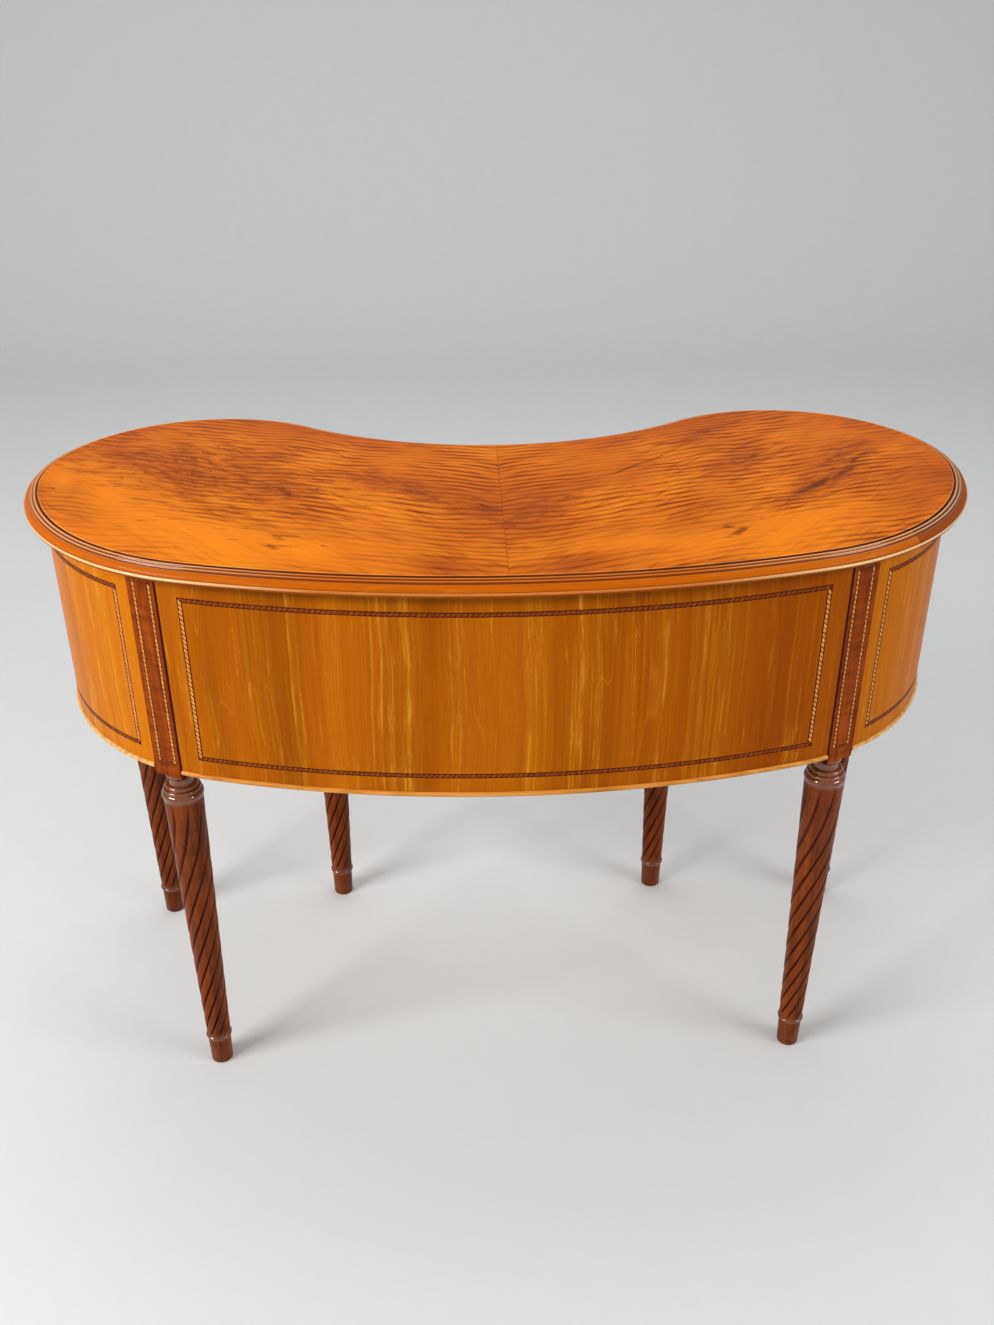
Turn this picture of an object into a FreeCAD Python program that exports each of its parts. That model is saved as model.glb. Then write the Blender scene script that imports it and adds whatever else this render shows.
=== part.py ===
import FreeCAD, Part
import math
import os

Vec = FreeCAD.Vector

# Kidney-shaped writing desk on six turned legs.
# Origin on the floor under the middle of the desk, +Z up, +Y towards the person who sits at it.
# The convex side that faces the room is at -Y, the kneehole and the drawers are at +Y.
# Lengths are millimetres and angles are degrees, counted from +X.

# Whole desk
desk_width = 1150.0
desk_depth = 540.0
desk_height = 760.0
bow_share = 0.2483           # of the depth, by which the convex arc falls back at the ends
shoulder_share = 0.3934      # radius, of the mean side of the plan
lobe_share = 0.2665          # radius, of the mean side of the plan
hollow_share = 0.1043        # of the width, for how far the kneehole curve goes in

# Top
top_thickness = 18.0
veneer_thickness = 0.8
moulding_width = 18.0
quirk_width = 1.4
quirk_depth = 3.2
reed_half_width = 1.5
reed_rise = 1.1
reed_drop = 0.9
fascia_drop = 12.6
edge_bead_radius = 1.7
moulding_joint_angle = -52.0

# Case
case_height = 262.0
case_inset = 22.0            # overhang of the top
panel_thickness = 18.0
knee_panel_thickness = 16.0
bottom_thickness = 12.0
dust_thickness = 8.0
rail_height = 14.0
rail_depth = 45.0
top_rail_height = 12.0
kicker_width = 20.0
guide_height = 14.0
bead_radius = 3.0

# Legs
leg_inset = 19.0             # axis behind the face of the case
block_width = 40.0
block_drop = 8.0             # block below the case
back_leg_share = 0.173       # of the shoulder arc, from the convex arc
end_leg_share = 0.311        # of the lobe arc, from the shoulder
knee_leg_share = 0.918       # of the hollow arc, from its middle
top_ring_radius = 17.2
top_ring_height = 7.5
neck_radius = 14.3
neck_top_radius = 15.2       # at both ends of the neck
neck_height = 9.5
first_step_radius = 19.8
first_step_height = 5.5
second_step_radius = 22.6
second_step_height = 4.7
third_step_radius = 25.0
third_step_height = 9.3
step_fall = 0.4              # by which a step draws in again at its foot
shaft_top_radius = 23.9
shaft_foot_radius = 15.4
collar_radius = 17.0
collar_height = 5.0
foot_height = 42.0
foot_top_radius = 15.0
foot_radius = 14.0
floor_chamfer = 1.2

# Stringing
string_width = 6.0
post_string_width = 4.0
string_depth = 1.2
string_top_margin = 27.0
string_bottom_margin = 25.0
post_string_top_margin = 12.5
post_string_bottom_margin = 10.5
post_string_side_margin = 7.4
back_string_margin = 32.0    # inside the axis of the back leg
end_string_margin = 17.0

# Drawers
drawer_side_gap = 1.0
drawer_face_gap = 1.0
drawer_slide_gap = 0.4
drawer_back_gap = 14.0
front_thickness = 20.0
side_thickness = 9.0
drawer_bottom_thickness = 5.0
drawer_bottom_rise = 7.0
side_drop = 10.0             # top of the sides below the top of the front

# Handles and locks
plate_thickness = 1.0
plate_half_width = 42.0
plate_half_height = 17.0
post_half_span = 25.0
post_radius = 4.2
post_reach = 12.0
shank_radius = 2.0
nut_radius = 5.5
nut_thickness = 3.5
pivot_reach = 8.0
pin_radius = 1.5
pin_clearance = 0.08
bar_radius = 2.0
bail_gap = 0.5
bail_drop = 26.0
bail_corner_radius = 14.0
pin_length = 3.4             # of the bail's pin inside the post, past its axis
knee_handle_share = 0.54     # of half the opening, from the middle
lock_width = 44.0
lock_height = 26.0
lock_thickness = 9.0
lock_drop = 5.0
escutcheon_radius = 6.5
keyhole_radius = 2.2
keyhole_slot = 7.0

# Fixings
screw_radius = 1.9
screw_head_radius = 4.0
screw_head_height = 2.6
screw_bite = 10.0
screw_inset = 34.0
block_length = 46.0
block_side = 16.0
glue_block_shares = (-0.82, -0.5, -0.18, 0.18, 0.5, 0.82)

fit_clearance = 0.1
seat_gap = 0.3               # under brass that follows a curved face
overrun = 80.0

# Levels
case_top = desk_height - top_thickness
case_bottom = case_top - case_height
floor_top = case_bottom + bottom_thickness
top_rail_base = case_top - top_rail_height
opening_height = (top_rail_base - floor_top - rail_height) / 2
rail_base = floor_top + opening_height
rail_top = rail_base + rail_height

# Plan of the outline: a wide convex arc, two shoulders, two lobes and the hollow of the kneehole
bow = bow_share * desk_depth
convex_radius = ((desk_width / 2)**2 + bow**2) / (2 * bow)
mean_side = math.sqrt(desk_width * desk_depth)
shoulder_radius = shoulder_share * mean_side
lobe_radius = lobe_share * mean_side
hollow_depth = hollow_share * desk_width
convex_y = convex_radius - desk_depth / 2
lobe_x = desk_width / 2 - lobe_radius
lobe_y = desk_depth / 2 - lobe_radius


def place_shoulder():
    span = math.hypot(lobe_x, lobe_y - convex_y)
    to_shoulder = convex_radius - shoulder_radius
    to_lobe = shoulder_radius - lobe_radius
    along = (span**2 + to_shoulder**2 - to_lobe**2) / (2 * span)
    aside = math.sqrt(to_shoulder**2 - along**2)
    ux = lobe_x / span
    uy = (lobe_y - convex_y) / span
    return along * ux + aside * uy, convex_y + along * uy - aside * ux


shoulder_x, shoulder_y = place_shoulder()
waist_radius = (lobe_x**2 + hollow_depth**2) / (2 * hollow_depth) - lobe_radius
waist_y = desk_depth / 2 - hollow_depth + waist_radius


def heading(x0, y0, x1, y1):
    return math.degrees(math.atan2(y1 - y0, x1 - x0))


convex_end = heading(0, convex_y, shoulder_x, shoulder_y)
lobe_start = heading(shoulder_x, shoulder_y, lobe_x, lobe_y)
lobe_end = heading(lobe_x, lobe_y, 0, waist_y)
waist_start = heading(0, waist_y, lobe_x, lobe_y)

# Each arc: centre x and y, radius, hollow or not, start and end angle, right half only
arcs = {
    "convex": (0, convex_y, convex_radius, False, -90, convex_end),
    "shoulder": (shoulder_x, shoulder_y, shoulder_radius, False, convex_end, lobe_start),
    "lobe": (lobe_x, lobe_y, lobe_radius, False, lobe_start, lobe_end),
    "waist": (0, waist_y, waist_radius, True, waist_start, -90),
}


def polar(x, y, radius, angle, z=0):
    turn = math.radians(angle)
    return Vec(x + radius * math.cos(turn), y + radius * math.sin(turn), z)


def arc_radius(name, inset):
    radius, hollow = arcs[name][2:4]
    return radius + inset if hollow else radius - inset


def on_arc(name, inset, angle, z=0):
    x, y = arcs[name][:2]
    return polar(x, y, arc_radius(name, inset), angle, z)


def mirrored(shape):
    return shape.mirror(Vec(0, 0, 0), Vec(1, 0, 0))


def outline(inset, z):
    right = []
    for name in arcs:
        start, end = arcs[name][4:]
        stations = [on_arc(name, inset, angle, z) for angle in (start, (start + end) / 2, end)]
        right.append(Part.Arc(*stations).toShape())
    left = [mirrored(edge) for edge in right]
    edges = Part.__sortEdges__(right + left)
    return Part.Wire(edges)


def slab(inset, z0, z1):
    return Part.Face(outline(inset, z0)).extrude(Vec(0, 0, z1 - z0))


def shell(inset, thickness, z0, z1):
    return slab(inset, z0, z1).cut(slab(inset + thickness, z0, z1))


def box(x0, x1, y0, y1, z0, z1):
    return Part.makeBox(x1 - x0, y1 - y0, z1 - z0, Vec(x0, y0, z0))


def join(shapes):
    whole = shapes[0].multiFuse(shapes[1:]) if len(shapes) > 1 else shapes[0]
    return whole.removeSplitter()


def rod(radius, start, end):
    return Part.makeCylinder(radius, (end - start).Length, start, end - start)


def angle_at(name, inset, x):
    # Angle on an arc's own circle of the point with this x, on the side that the arc lies on
    turn = math.degrees(math.acos((x - arcs[name][0]) / arc_radius(name, inset)))
    return turn if name == "lobe" else -turn


def inner_back_y(x):
    # Inside of the panels on the convex side, at this x
    inset = case_inset + panel_thickness
    for name in ("convex", "shoulder", "lobe"):
        if abs(x) <= on_arc(name, inset, arcs[name][5]).x:
            turn = -math.acos((abs(x) - arcs[name][0]) / arc_radius(name, inset))
            return arcs[name][1] + arc_radius(name, inset) * math.sin(turn)
    return lobe_y


def angle_along(name, share):
    start, end = arcs[name][4:]
    return start + share * (end - start)


# Legs stand on a line behind the face of the case
axis_inset = case_inset + leg_inset
half_block = block_width / 2
back_leg_angle = angle_along("shoulder", back_leg_share)
back_leg_axis = on_arc("shoulder", axis_inset, back_leg_angle)
end_leg_axis = on_arc("lobe", axis_inset, angle_along("lobe", end_leg_share))
knee_leg_axis = on_arc("waist", axis_inset, angle_along("waist", 1 - knee_leg_share))

knee_inner_x = knee_leg_axis.x - knee_panel_thickness / 2
knee_outer_x = knee_leg_axis.x + knee_panel_thickness / 2
knee_opening_x = knee_leg_axis.x - half_block
bay_start_x = knee_leg_axis.x + half_block
bay_end_x = end_leg_axis.x - half_block
knee_panel_y = knee_leg_axis.y - half_block
end_post_y = end_leg_axis.y - half_block


def back_post(z0, z1):
    post = box(-half_block, overrun, -half_block, half_block, z0, z1)
    post.rotate(Vec(0, 0, 0), Vec(0, 0, 1), back_leg_angle)
    post.translate(back_leg_axis)
    return post


def end_post(z0, z1):
    return box(bay_end_x, bay_end_x + overrun, end_post_y, end_post_y + overrun, z0, z1)


def knee_post(z0, z1):
    return box(knee_opening_x, bay_start_x, knee_panel_y, knee_panel_y + overrun, z0, z1)


posts = {"back": back_post, "end": end_post, "knee": knee_post}
post_axes = {"back": back_leg_axis, "end": end_leg_axis, "knee": knee_leg_axis}


def all_posts(z0, z1):
    right = [post(z0, z1) for post in posts.values()]
    return right + [mirrored(post) for post in right]


def turned_leg(axis):
    # Ring under the block, neck, three steps, tapered shaft, collar and foot, drawn from the top down
    block_base = case_bottom - block_drop
    ring_base = block_base - top_ring_height
    neck_base = ring_base - neck_height
    first_base = neck_base - first_step_height
    second_base = first_base - second_step_height
    third_base = second_base - third_step_height
    collar_top = foot_height + collar_height
    rows = [
        ("line", neck_top_radius, block_base),
        ("curve", top_ring_radius, block_base - top_ring_height / 2, neck_top_radius, ring_base),
        ("curve", neck_radius, ring_base - neck_height / 2, neck_top_radius, neck_base),
        ("curve", first_step_radius, (neck_base + first_base) / 2, first_step_radius - step_fall, first_base),
        ("curve", second_step_radius, (first_base + second_base) / 2, second_step_radius - step_fall,
         second_base),
        ("curve", third_step_radius, (second_base + third_base) / 2, shaft_top_radius, third_base),
        ("line", shaft_foot_radius, collar_top),
        ("curve", collar_radius, foot_height + collar_height / 2, foot_top_radius, foot_height),
        ("line", foot_radius, floor_chamfer),
        ("line", foot_radius - floor_chamfer, 0),
        ("line", 0, 0),
    ]
    here = Vec(neck_top_radius, 0, block_base + bead_radius)
    edges = [Part.makeLine(Vec(0, 0, here.z), here)]
    for row in rows:
        end = Vec(row[-2], 0, row[-1])
        if row[0] == "line":
            edges.append(Part.makeLine(here, end))
        else:
            edges.append(Part.Arc(here, Vec(row[1], 0, row[2]), end).toShape())
        here = end
    edges.append(Part.makeLine(here, edges[0].Vertexes[0].Point))
    turned = Part.Face(Part.Wire(edges)).revolve(Vec(0, 0, 0), Vec(0, 0, 1), 360)
    turned.translate(axis)
    return turned


def leg(kind):
    base = case_bottom - block_drop
    block = posts[kind](base, case_top).common(slab(case_inset, base, case_top))
    return join([block, turned_leg(post_axes[kind])])


def span_prism(first, first_angle, last, last_angle, z0, z1):
    # The space in front of a stretch of the outline, between two lines square to it
    names = list(arcs)
    inner = [on_arc(first, axis_inset, first_angle, z0)]
    outer = [on_arc(first, -overrun, first_angle, z0)]
    for name in names[names.index(first):names.index(last)]:
        inner.append(on_arc(name, axis_inset, arcs[name][5], z0))
        outer.append(on_arc(name, -overrun, arcs[name][5], z0))
    inner.append(on_arc(last, axis_inset, last_angle, z0))
    outer.append(on_arc(last, -overrun, last_angle, z0))
    loop = outer + inner[::-1]
    return Part.Face(Part.makePolygon(loop + loop[:1])).extrude(Vec(0, 0, z1 - z0))


def string_strips(first, first_angle, last, last_angle, z0, z1, width):
    # Two upright strips with a bottom and a top strip between them, let into the face
    step_first = math.degrees(width / arc_radius(first, case_inset))
    step_last = math.degrees(width / arc_radius(last, case_inset))
    inside_first = first_angle + step_first
    inside_last = last_angle - step_last
    spaces = [
        span_prism(first, first_angle, first, inside_first, z0, z1),
        span_prism(last, inside_last, last, last_angle, z0, z1),
        span_prism(first, inside_first, last, inside_last, z0, z0 + width),
        span_prism(first, inside_first, last, inside_last, z1 - width, z1),
    ]
    skin = shell(case_inset, string_depth, z0, z1)
    return [space.common(skin) for space in spaces]


def back_string_strips():
    # The upright strips stand near the ends of the convex arc
    z0 = case_bottom + string_bottom_margin
    z1 = case_top - string_top_margin
    limit = back_leg_axis.x - back_string_margin
    inside = limit - string_width
    skin = shell(case_inset, string_depth, z0, z1)
    depth = desk_depth / 2
    spaces = [
        box(-limit, -inside, -depth, 0, z0, z1),
        box(inside, limit, -depth, 0, z0, z1),
        box(-inside, inside, -depth, 0, z0, z0 + string_width),
        box(-inside, inside, -depth, 0, z1 - string_width, z1),
    ]
    return [space.common(skin) for space in spaces]


def end_string_strips():
    along = math.degrees((half_block + end_string_margin) / arc_radius("shoulder", case_inset))
    rear_y = end_post_y - end_string_margin
    rear = math.degrees(math.asin((rear_y - lobe_y) / arc_radius("lobe", case_inset)))
    z0 = case_bottom + string_bottom_margin
    z1 = case_top - string_top_margin
    return string_strips("shoulder", back_leg_angle + along, "lobe", rear, z0, z1, string_width)


def post_string_strips():
    half = math.degrees((half_block - post_string_side_margin) / arc_radius("shoulder", case_inset))
    z0 = case_bottom + post_string_bottom_margin
    z1 = case_top - post_string_top_margin
    first = back_leg_angle - half
    last = back_leg_angle + half
    return string_strips("shoulder", first, "shoulder", last, z0, z1, post_string_width)


def moulding_section(name):
    # Quirk, two reeds, a bellied fascia and a bead, from the field outwards and down
    radius, hollow = arcs[name][2:4]
    sign = 1 if hollow else -1
    edge_radius = radius + sign * moulding_width
    top = desk_height
    reed_start = quirk_width
    reed_next = reed_start + 2 * reed_half_width
    reed_end = reed_next + 2 * reed_half_width
    reed_z = top - quirk_depth + reed_half_width / 2
    next_z = reed_z - reed_drop
    end_z = next_z - reed_drop
    bead_u = moulding_width - edge_bead_radius
    fascia_z = top - fascia_drop
    bead_z = fascia_z - 2 * edge_bead_radius
    base_z = case_top
    mid_u = (reed_end + bead_u) / 2 + reed_half_width / 2
    mid_z = (end_z + fascia_z) / 2 + reed_half_width

    def at(u, z):
        return Vec(edge_radius - sign * u, 0, z)

    points = [
        ("line", at(quirk_width, top - quirk_depth)),
        ("line", at(reed_start, reed_z)),
        ("curve", at(reed_start + reed_half_width, reed_z + reed_rise), at(reed_next, next_z)),
        ("curve", at(reed_next + reed_half_width, next_z + reed_rise), at(reed_end, end_z)),
        ("curve", at(mid_u, mid_z), at(bead_u, fascia_z)),
        ("curve", at(moulding_width, fascia_z - edge_bead_radius), at(bead_u, bead_z)),
        ("line", at(bead_u, base_z)),
        ("line", at(0, base_z)),
        ("line", at(0, top - quirk_depth)),
    ]
    here = at(0, top - quirk_depth)
    edges = []
    for point in points:
        end_point = point[-1]
        if point[0] == "line":
            edges.append(Part.makeLine(here, end_point))
        else:
            edges.append(Part.Arc(here, point[1], end_point).toShape())
        here = end_point
    return Part.Face(Part.Wire(edges))


def swept(section, name, start, end):
    # The section stands in the plane of +X and +Z and turns about the arc's centre
    x, y = arcs[name][:2]
    piece = section.copy()
    piece.rotate(Vec(0, 0, 0), Vec(0, 0, 1), start)
    piece = piece.revolve(Vec(0, 0, 0), Vec(0, 0, 1), end - start)
    piece.translate(Vec(x, y, 0))
    return piece


def moulding(name, start=None, end=None):
    first, last = arcs[name][4:]
    start = first if start is None else start
    end = last if end is None else end
    return swept(moulding_section(name), name, start, end)


def edge_mouldings():
    joint = moulding_joint_angle
    half_back = join([moulding("convex"), moulding("shoulder", end=joint)])
    right = join([moulding("shoulder", start=joint), moulding("lobe")])
    half_knee = moulding("waist")
    return {
        "edge_moulding_back": join([half_back, mirrored(half_back)]),
        "edge_moulding_right": right,
        "edge_moulding_left": mirrored(right),
        "edge_moulding_knee": join([half_knee, mirrored(half_knee)]),
    }


def bead_ring():
    # Half-round bead round the foot of the case, one length per arc
    z = case_bottom + bead_radius
    pieces = []
    for name in arcs:
        hollow, start, end = arcs[name][3:]
        face_radius = arc_radius(name, case_inset)
        reach = -bead_radius if hollow else bead_radius
        low = Vec(face_radius, 0, z - bead_radius)
        high = Vec(face_radius, 0, z + bead_radius)
        bow = Part.Arc(low, Vec(face_radius + reach, 0, z), high).toShape()
        section = Part.Face(Part.Wire([bow, Part.makeLine(high, low)]))
        pieces.append(swept(section, name, start, end))
    return join(pieces + [mirrored(piece) for piece in pieces])


def nearest(shape, point):
    # The solid of a cut shape whose middle lies nearest to a point in plan
    def distance(solid):
        centre = solid.CenterOfMass
        return math.hypot(centre.x - point.x, centre.y - point.y)

    return min(shape.Solids, key=distance)


# Middles of the stretches between the posts, in plan
back_middle = Vec(0, -desk_depth / 2 + case_inset, 0)
end_middle = on_arc("lobe", case_inset, lobe_start)
bay_middle = on_arc("lobe", case_inset, 90)


def ring_panels():
    ring = shell(case_inset, panel_thickness, case_bottom, case_top)
    for post in all_posts(case_bottom - overrun, case_top + overrun):
        ring = ring.cut(post)
    back = nearest(ring, back_middle)
    end = nearest(ring, end_middle)
    for strip in back_string_strips():
        back = back.cut(strip)
    for strip in end_string_strips():
        end = end.cut(strip)
    return back, end


def bead_lengths():
    ring = bead_ring()
    for post in all_posts(case_bottom - overrun, case_top):
        ring = ring.cut(post)
    return nearest(ring, back_middle), nearest(ring, end_middle), nearest(ring, bay_middle)


def knee_panel():
    start = -desk_depth / 2
    board = box(knee_inner_x, knee_outer_x, start, knee_panel_y, case_bottom, case_top)
    return board.common(slab(case_inset + panel_thickness, case_bottom, case_top))


def bay_board(z0, z1, others):
    # Board of a pedestal, from the knee panel to the end panel and the face of the drawers
    board = box(knee_outer_x, desk_width / 2, -desk_depth / 2, desk_depth / 2, z0, z1)
    board = board.common(slab(case_inset, z0, z1))
    for other in others + all_posts(z0 - overrun, z1 + overrun):
        board = board.cut(other)
    return max(board.Solids, key=lambda solid: solid.Volume)


def face_rail(x0, x1, z0, z1):
    # Rail whose front follows the outline, between two posts
    band = shell(case_inset, rail_depth, z0, z1)
    rail = band.common(box(x0, x1, 0, desk_depth / 2, z0, z1))
    return max(rail.Solids, key=lambda solid: solid.Volume)


def knee_board(z0, z1, others):
    board = box(-knee_inner_x, knee_inner_x, -desk_depth / 2, desk_depth / 2, z0, z1)
    board = board.common(slab(case_inset, z0, z1))
    for other in others + all_posts(z0 - overrun, z1 + overrun):
        board = board.cut(other)
    return max(board.Solids, key=lambda solid: solid.Volume)


def guide(x0, x1, end_y, z0):
    strip = box(x0, x1, -desk_depth / 2, end_y, z0, z0 + guide_height)
    strip = strip.common(slab(case_inset + panel_thickness, z0, z0 + guide_height))
    return max(strip.Solids, key=lambda solid: solid.Volume)


def drawer_guides():
    bay = []
    for level in (floor_top, rail_top):
        bay.append(guide(knee_outer_x, bay_start_x, knee_panel_y, level))
        bay.append(guide(bay_end_x, bay_end_x + half_block / 2, end_post_y, level))
    knee = guide(knee_opening_x, knee_inner_x, knee_panel_y, rail_top)
    right = bay + [knee]
    return right + [mirrored(strip) for strip in right]


def kicker_strips():
    # Strips under the top, above the sides of the upper drawers, that keep them level when pulled out
    places = [
        (knee_opening_x - kicker_width, knee_panel_y),
        (bay_start_x, knee_panel_y),
        (bay_end_x - kicker_width, end_post_y),
    ]
    rails_back = shell(case_inset, rail_depth, top_rail_base, case_top)
    right = []
    for x, end_y in places:
        strip = box(x, x + kicker_width, -desk_depth / 2, end_y + overrun, top_rail_base, case_top)
        strip = strip.common(slab(case_inset + panel_thickness, top_rail_base, case_top)).cut(rails_back)
        for post in all_posts(top_rail_base - overrun, case_top + overrun):
            strip = strip.cut(post)
        right.append(max(strip.Solids, key=lambda solid: solid.Volume))
    return right + [mirrored(strip) for strip in right]


def screw(x, y):
    head_top = top_rail_base + screw_head_height
    head = Part.makeCone(screw_head_radius, screw_radius, screw_head_height, Vec(x, y, top_rail_base))
    shank = rod(screw_radius, Vec(x, y, head_top), Vec(x, y, case_top + screw_bite))
    return join([head, shank])


def screw_places(strips):
    places = []
    for strip in strips:
        bounds = strip.BoundBox
        x = (bounds.XMin + bounds.XMax) / 2
        places += [(x, bounds.YMin + screw_inset), (x, bounds.YMax - screw_inset)]
    return places


def glue_blocks(others):
    # Blocks in the corner between the convex panel and the top
    base = case_top - block_side
    blocks = []
    reach = knee_inner_x - block_length
    for share in glue_block_shares:
        x = share * reach
        y = inner_back_y(x)
        half = block_length / 2
        block = box(x - half, x + half, y - block_side, y + block_side, base, case_top)
        block = block.common(slab(case_inset + panel_thickness, base, case_top))
        for other in others:
            block = block.cut(other)
        blocks.append(block)
    return blocks


def drawer_space(bay):
    # Room for a drawer between its guides, and where its back stands
    if bay == "knee":
        side = knee_opening_x - drawer_side_gap
        return -side, side, inner_back_y(side) + drawer_back_gap
    x1 = bay_end_x - drawer_side_gap
    return bay_start_x + drawer_side_gap, x1, inner_back_y(x1) + drawer_back_gap


def handle_frames(bay):
    # Foot of each handle on the face, and the heading of its outward line
    if bay == "knee":
        frames = []
        for side in (-1, 1):
            turn = angle_at("waist", case_inset, side * knee_handle_share * knee_opening_x)
            frames.append((on_arc("waist", case_inset, turn), turn + 180))
        return frames
    x = (bay_start_x + bay_end_x) / 2
    turn = angle_at("lobe", case_inset, x)
    return [(on_arc("lobe", case_inset, turn), turn)]


def placed(shape, frame, z):
    foot, turn = frame
    piece = shape.copy()
    piece.rotate(Vec(0, 0, 0), Vec(0, 0, 1), turn - 90)
    piece.translate(Vec(foot.x, foot.y, z))
    return piece


def bail():
    # Drop handle hanging from its two pins: X along the face, Y outwards
    leg_x = post_half_span + post_radius + bail_gap + bar_radius
    y = pivot_reach
    low = bail_corner_radius - bail_drop
    bend = Part.Face(Part.Wire(Part.makeCircle(bar_radius, Vec(leg_x, y, low), Vec(0, 0, 1))))
    bend = bend.revolve(Vec(leg_x - bail_corner_radius, y, low), Vec(0, 1, 0), 90)
    half = [
        rod(pin_radius, Vec(post_half_span - pin_length, y, 0), Vec(leg_x, y, 0)),
        Part.makeSphere(bar_radius, Vec(leg_x, y, 0)),
        rod(bar_radius, Vec(leg_x, y, 0), Vec(leg_x, y, low)),
        bend,
        rod(bar_radius, Vec(leg_x - bail_corner_radius, y, -bail_drop), Vec(0, y, -bail_drop)),
    ]
    return join(half + [mirrored(piece) for piece in half])


def handle_post(side):
    x = side * post_half_span
    body = rod(post_radius, Vec(x, -post_reach, 0), Vec(x, post_reach, 0))
    start = Vec(x - post_reach, pivot_reach, 0)
    end = Vec(x + post_reach, pivot_reach, 0)
    hole = rod(pin_radius + pin_clearance, start, end)
    return body.cut(hole)


def shank(side, radius):
    x = side * post_half_span
    reach = front_thickness + 2 * nut_thickness
    return rod(radius, Vec(x, -reach, 0), Vec(x, pivot_reach / 2, 0))


def nut(side):
    x = side * post_half_span
    reach = front_thickness + 2 * nut_thickness
    return rod(nut_radius, Vec(x, -reach + fit_clearance, 0), Vec(x, 0, 0))


def plate_blank():
    ellipse = Part.Ellipse(Vec(0, 0, 0), plate_half_width, plate_half_height).toShape()
    face = Part.Face(Part.Wire(ellipse))
    face.rotate(Vec(0, 0, 0), Vec(1, 0, 0), 90)
    face.translate(Vec(0, post_reach, 0))
    return face.extrude(Vec(0, -2 * post_reach, 0))


def keyhole(z):
    # Round hole with a slot below it, through the front
    reach = 2 * front_thickness
    start = Vec(0, -reach, z)
    hole = rod(keyhole_radius, start, Vec(0, reach, z))
    half = keyhole_radius / 2
    slot = box(-half, half, -reach, reach, z - keyhole_slot, z)
    return join([hole, slot])


def drawer(bay, base):
    x0, x1, back = drawer_space(bay)
    top = base + opening_height - drawer_face_gap
    bottom = base + drawer_slide_gap
    side_top = top - side_drop
    inside = case_inset + front_thickness
    front = shell(case_inset, front_thickness, bottom, top)
    front = front.common(box(x0, x1, 0, desk_depth / 2, bottom, top))
    within = slab(inside, bottom, side_top)
    far = desk_depth / 2
    floor_base = bottom + drawer_bottom_rise
    floor_level = floor_base + drawer_bottom_thickness
    pieces = [
        box(x0, x0 + side_thickness, back, far, bottom, side_top),
        box(x1 - side_thickness, x1, back, far, bottom, side_top),
        box(x0 + side_thickness, x1 - side_thickness, back, back + side_thickness, floor_level, side_top),
        box(x0 + side_thickness, x1 - side_thickness, back, far, floor_base, floor_level),
    ]
    carcass = [max(piece.common(within).Solids, key=lambda solid: solid.Volume) for piece in pieces]

    handle_z = (bottom + top) / 2 - plate_half_height / 4
    plate_inset = case_inset - plate_thickness - seat_gap
    outer = slab(plate_inset, bottom, top)
    skin = shell(plate_inset, plate_thickness, bottom, top)
    behind = slab(inside + seat_gap, bottom, top)
    fittings = []
    bails = []
    for frame in handle_frames(bay):
        plate = placed(plate_blank(), frame, handle_z).common(skin)
        for side in (-1, 1):
            shank_hole = placed(shank(side, shank_radius + fit_clearance), frame, handle_z)
            post = placed(handle_post(side), frame, handle_z).cut(outer)
            post = join([post, placed(shank(side, shank_radius), frame, handle_z)])
            fittings += [post, placed(nut(side), frame, handle_z).common(behind).cut(shank_hole)]
            front = front.cut(shank_hole)
            plate = plate.cut(shank_hole)
        fittings.append(plate)
        bails.append(placed(bail(), frame, handle_z))

    lock_frame = (on_arc("waist", case_inset, -90), 90) if bay == "knee" else handle_frames(bay)[0]
    lock_z = top - lock_drop - lock_height / 2
    key = placed(keyhole(lock_z + keyhole_slot / 4), lock_frame, 0)
    disc = rod(escutcheon_radius, Vec(0, -post_reach, lock_z), Vec(0, post_reach, lock_z))
    disc = placed(disc, lock_frame, 0).common(skin)
    case_box = box(-lock_width / 2, lock_width / 2, -2 * front_thickness, -front_thickness + lock_thickness,
                   lock_z - lock_height / 2, lock_z + lock_height / 2)
    case_box = placed(case_box, lock_frame, 0)
    lock_case = case_box.common(front).cut(key)
    front = front.cut(case_box).cut(key)
    fittings += [lock_case, disc.cut(key)]
    return front, carcass, fittings, bails


def listed(shapes):
    return shapes if isinstance(shapes, list) else [shapes]


def raised(shapes, height):
    return [shape.translated(Vec(0, 0, height)) for shape in listed(shapes)]


def save(name, shapes):
    group = listed(shapes)
    solids = [solid for shape in group for solid in shape.Solids]
    whole = solids[0] if len(solids) == 1 else Part.makeCompound(solids)
    whole.exportStep(f"parts/{name}.step")
    bounds = whole.BoundBox
    print(name, len(solids), whole.isValid(), round(whole.Volume), [round(v, 1) for v in (
        bounds.XMin, bounds.YMin, bounds.ZMin, bounds.XMax, bounds.YMax, bounds.ZMax)])


def save_pair(name, shapes):
    group = listed(shapes)
    save(f"{name}_right", group)
    save(f"{name}_left", [mirrored(shape) for shape in group])


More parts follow.
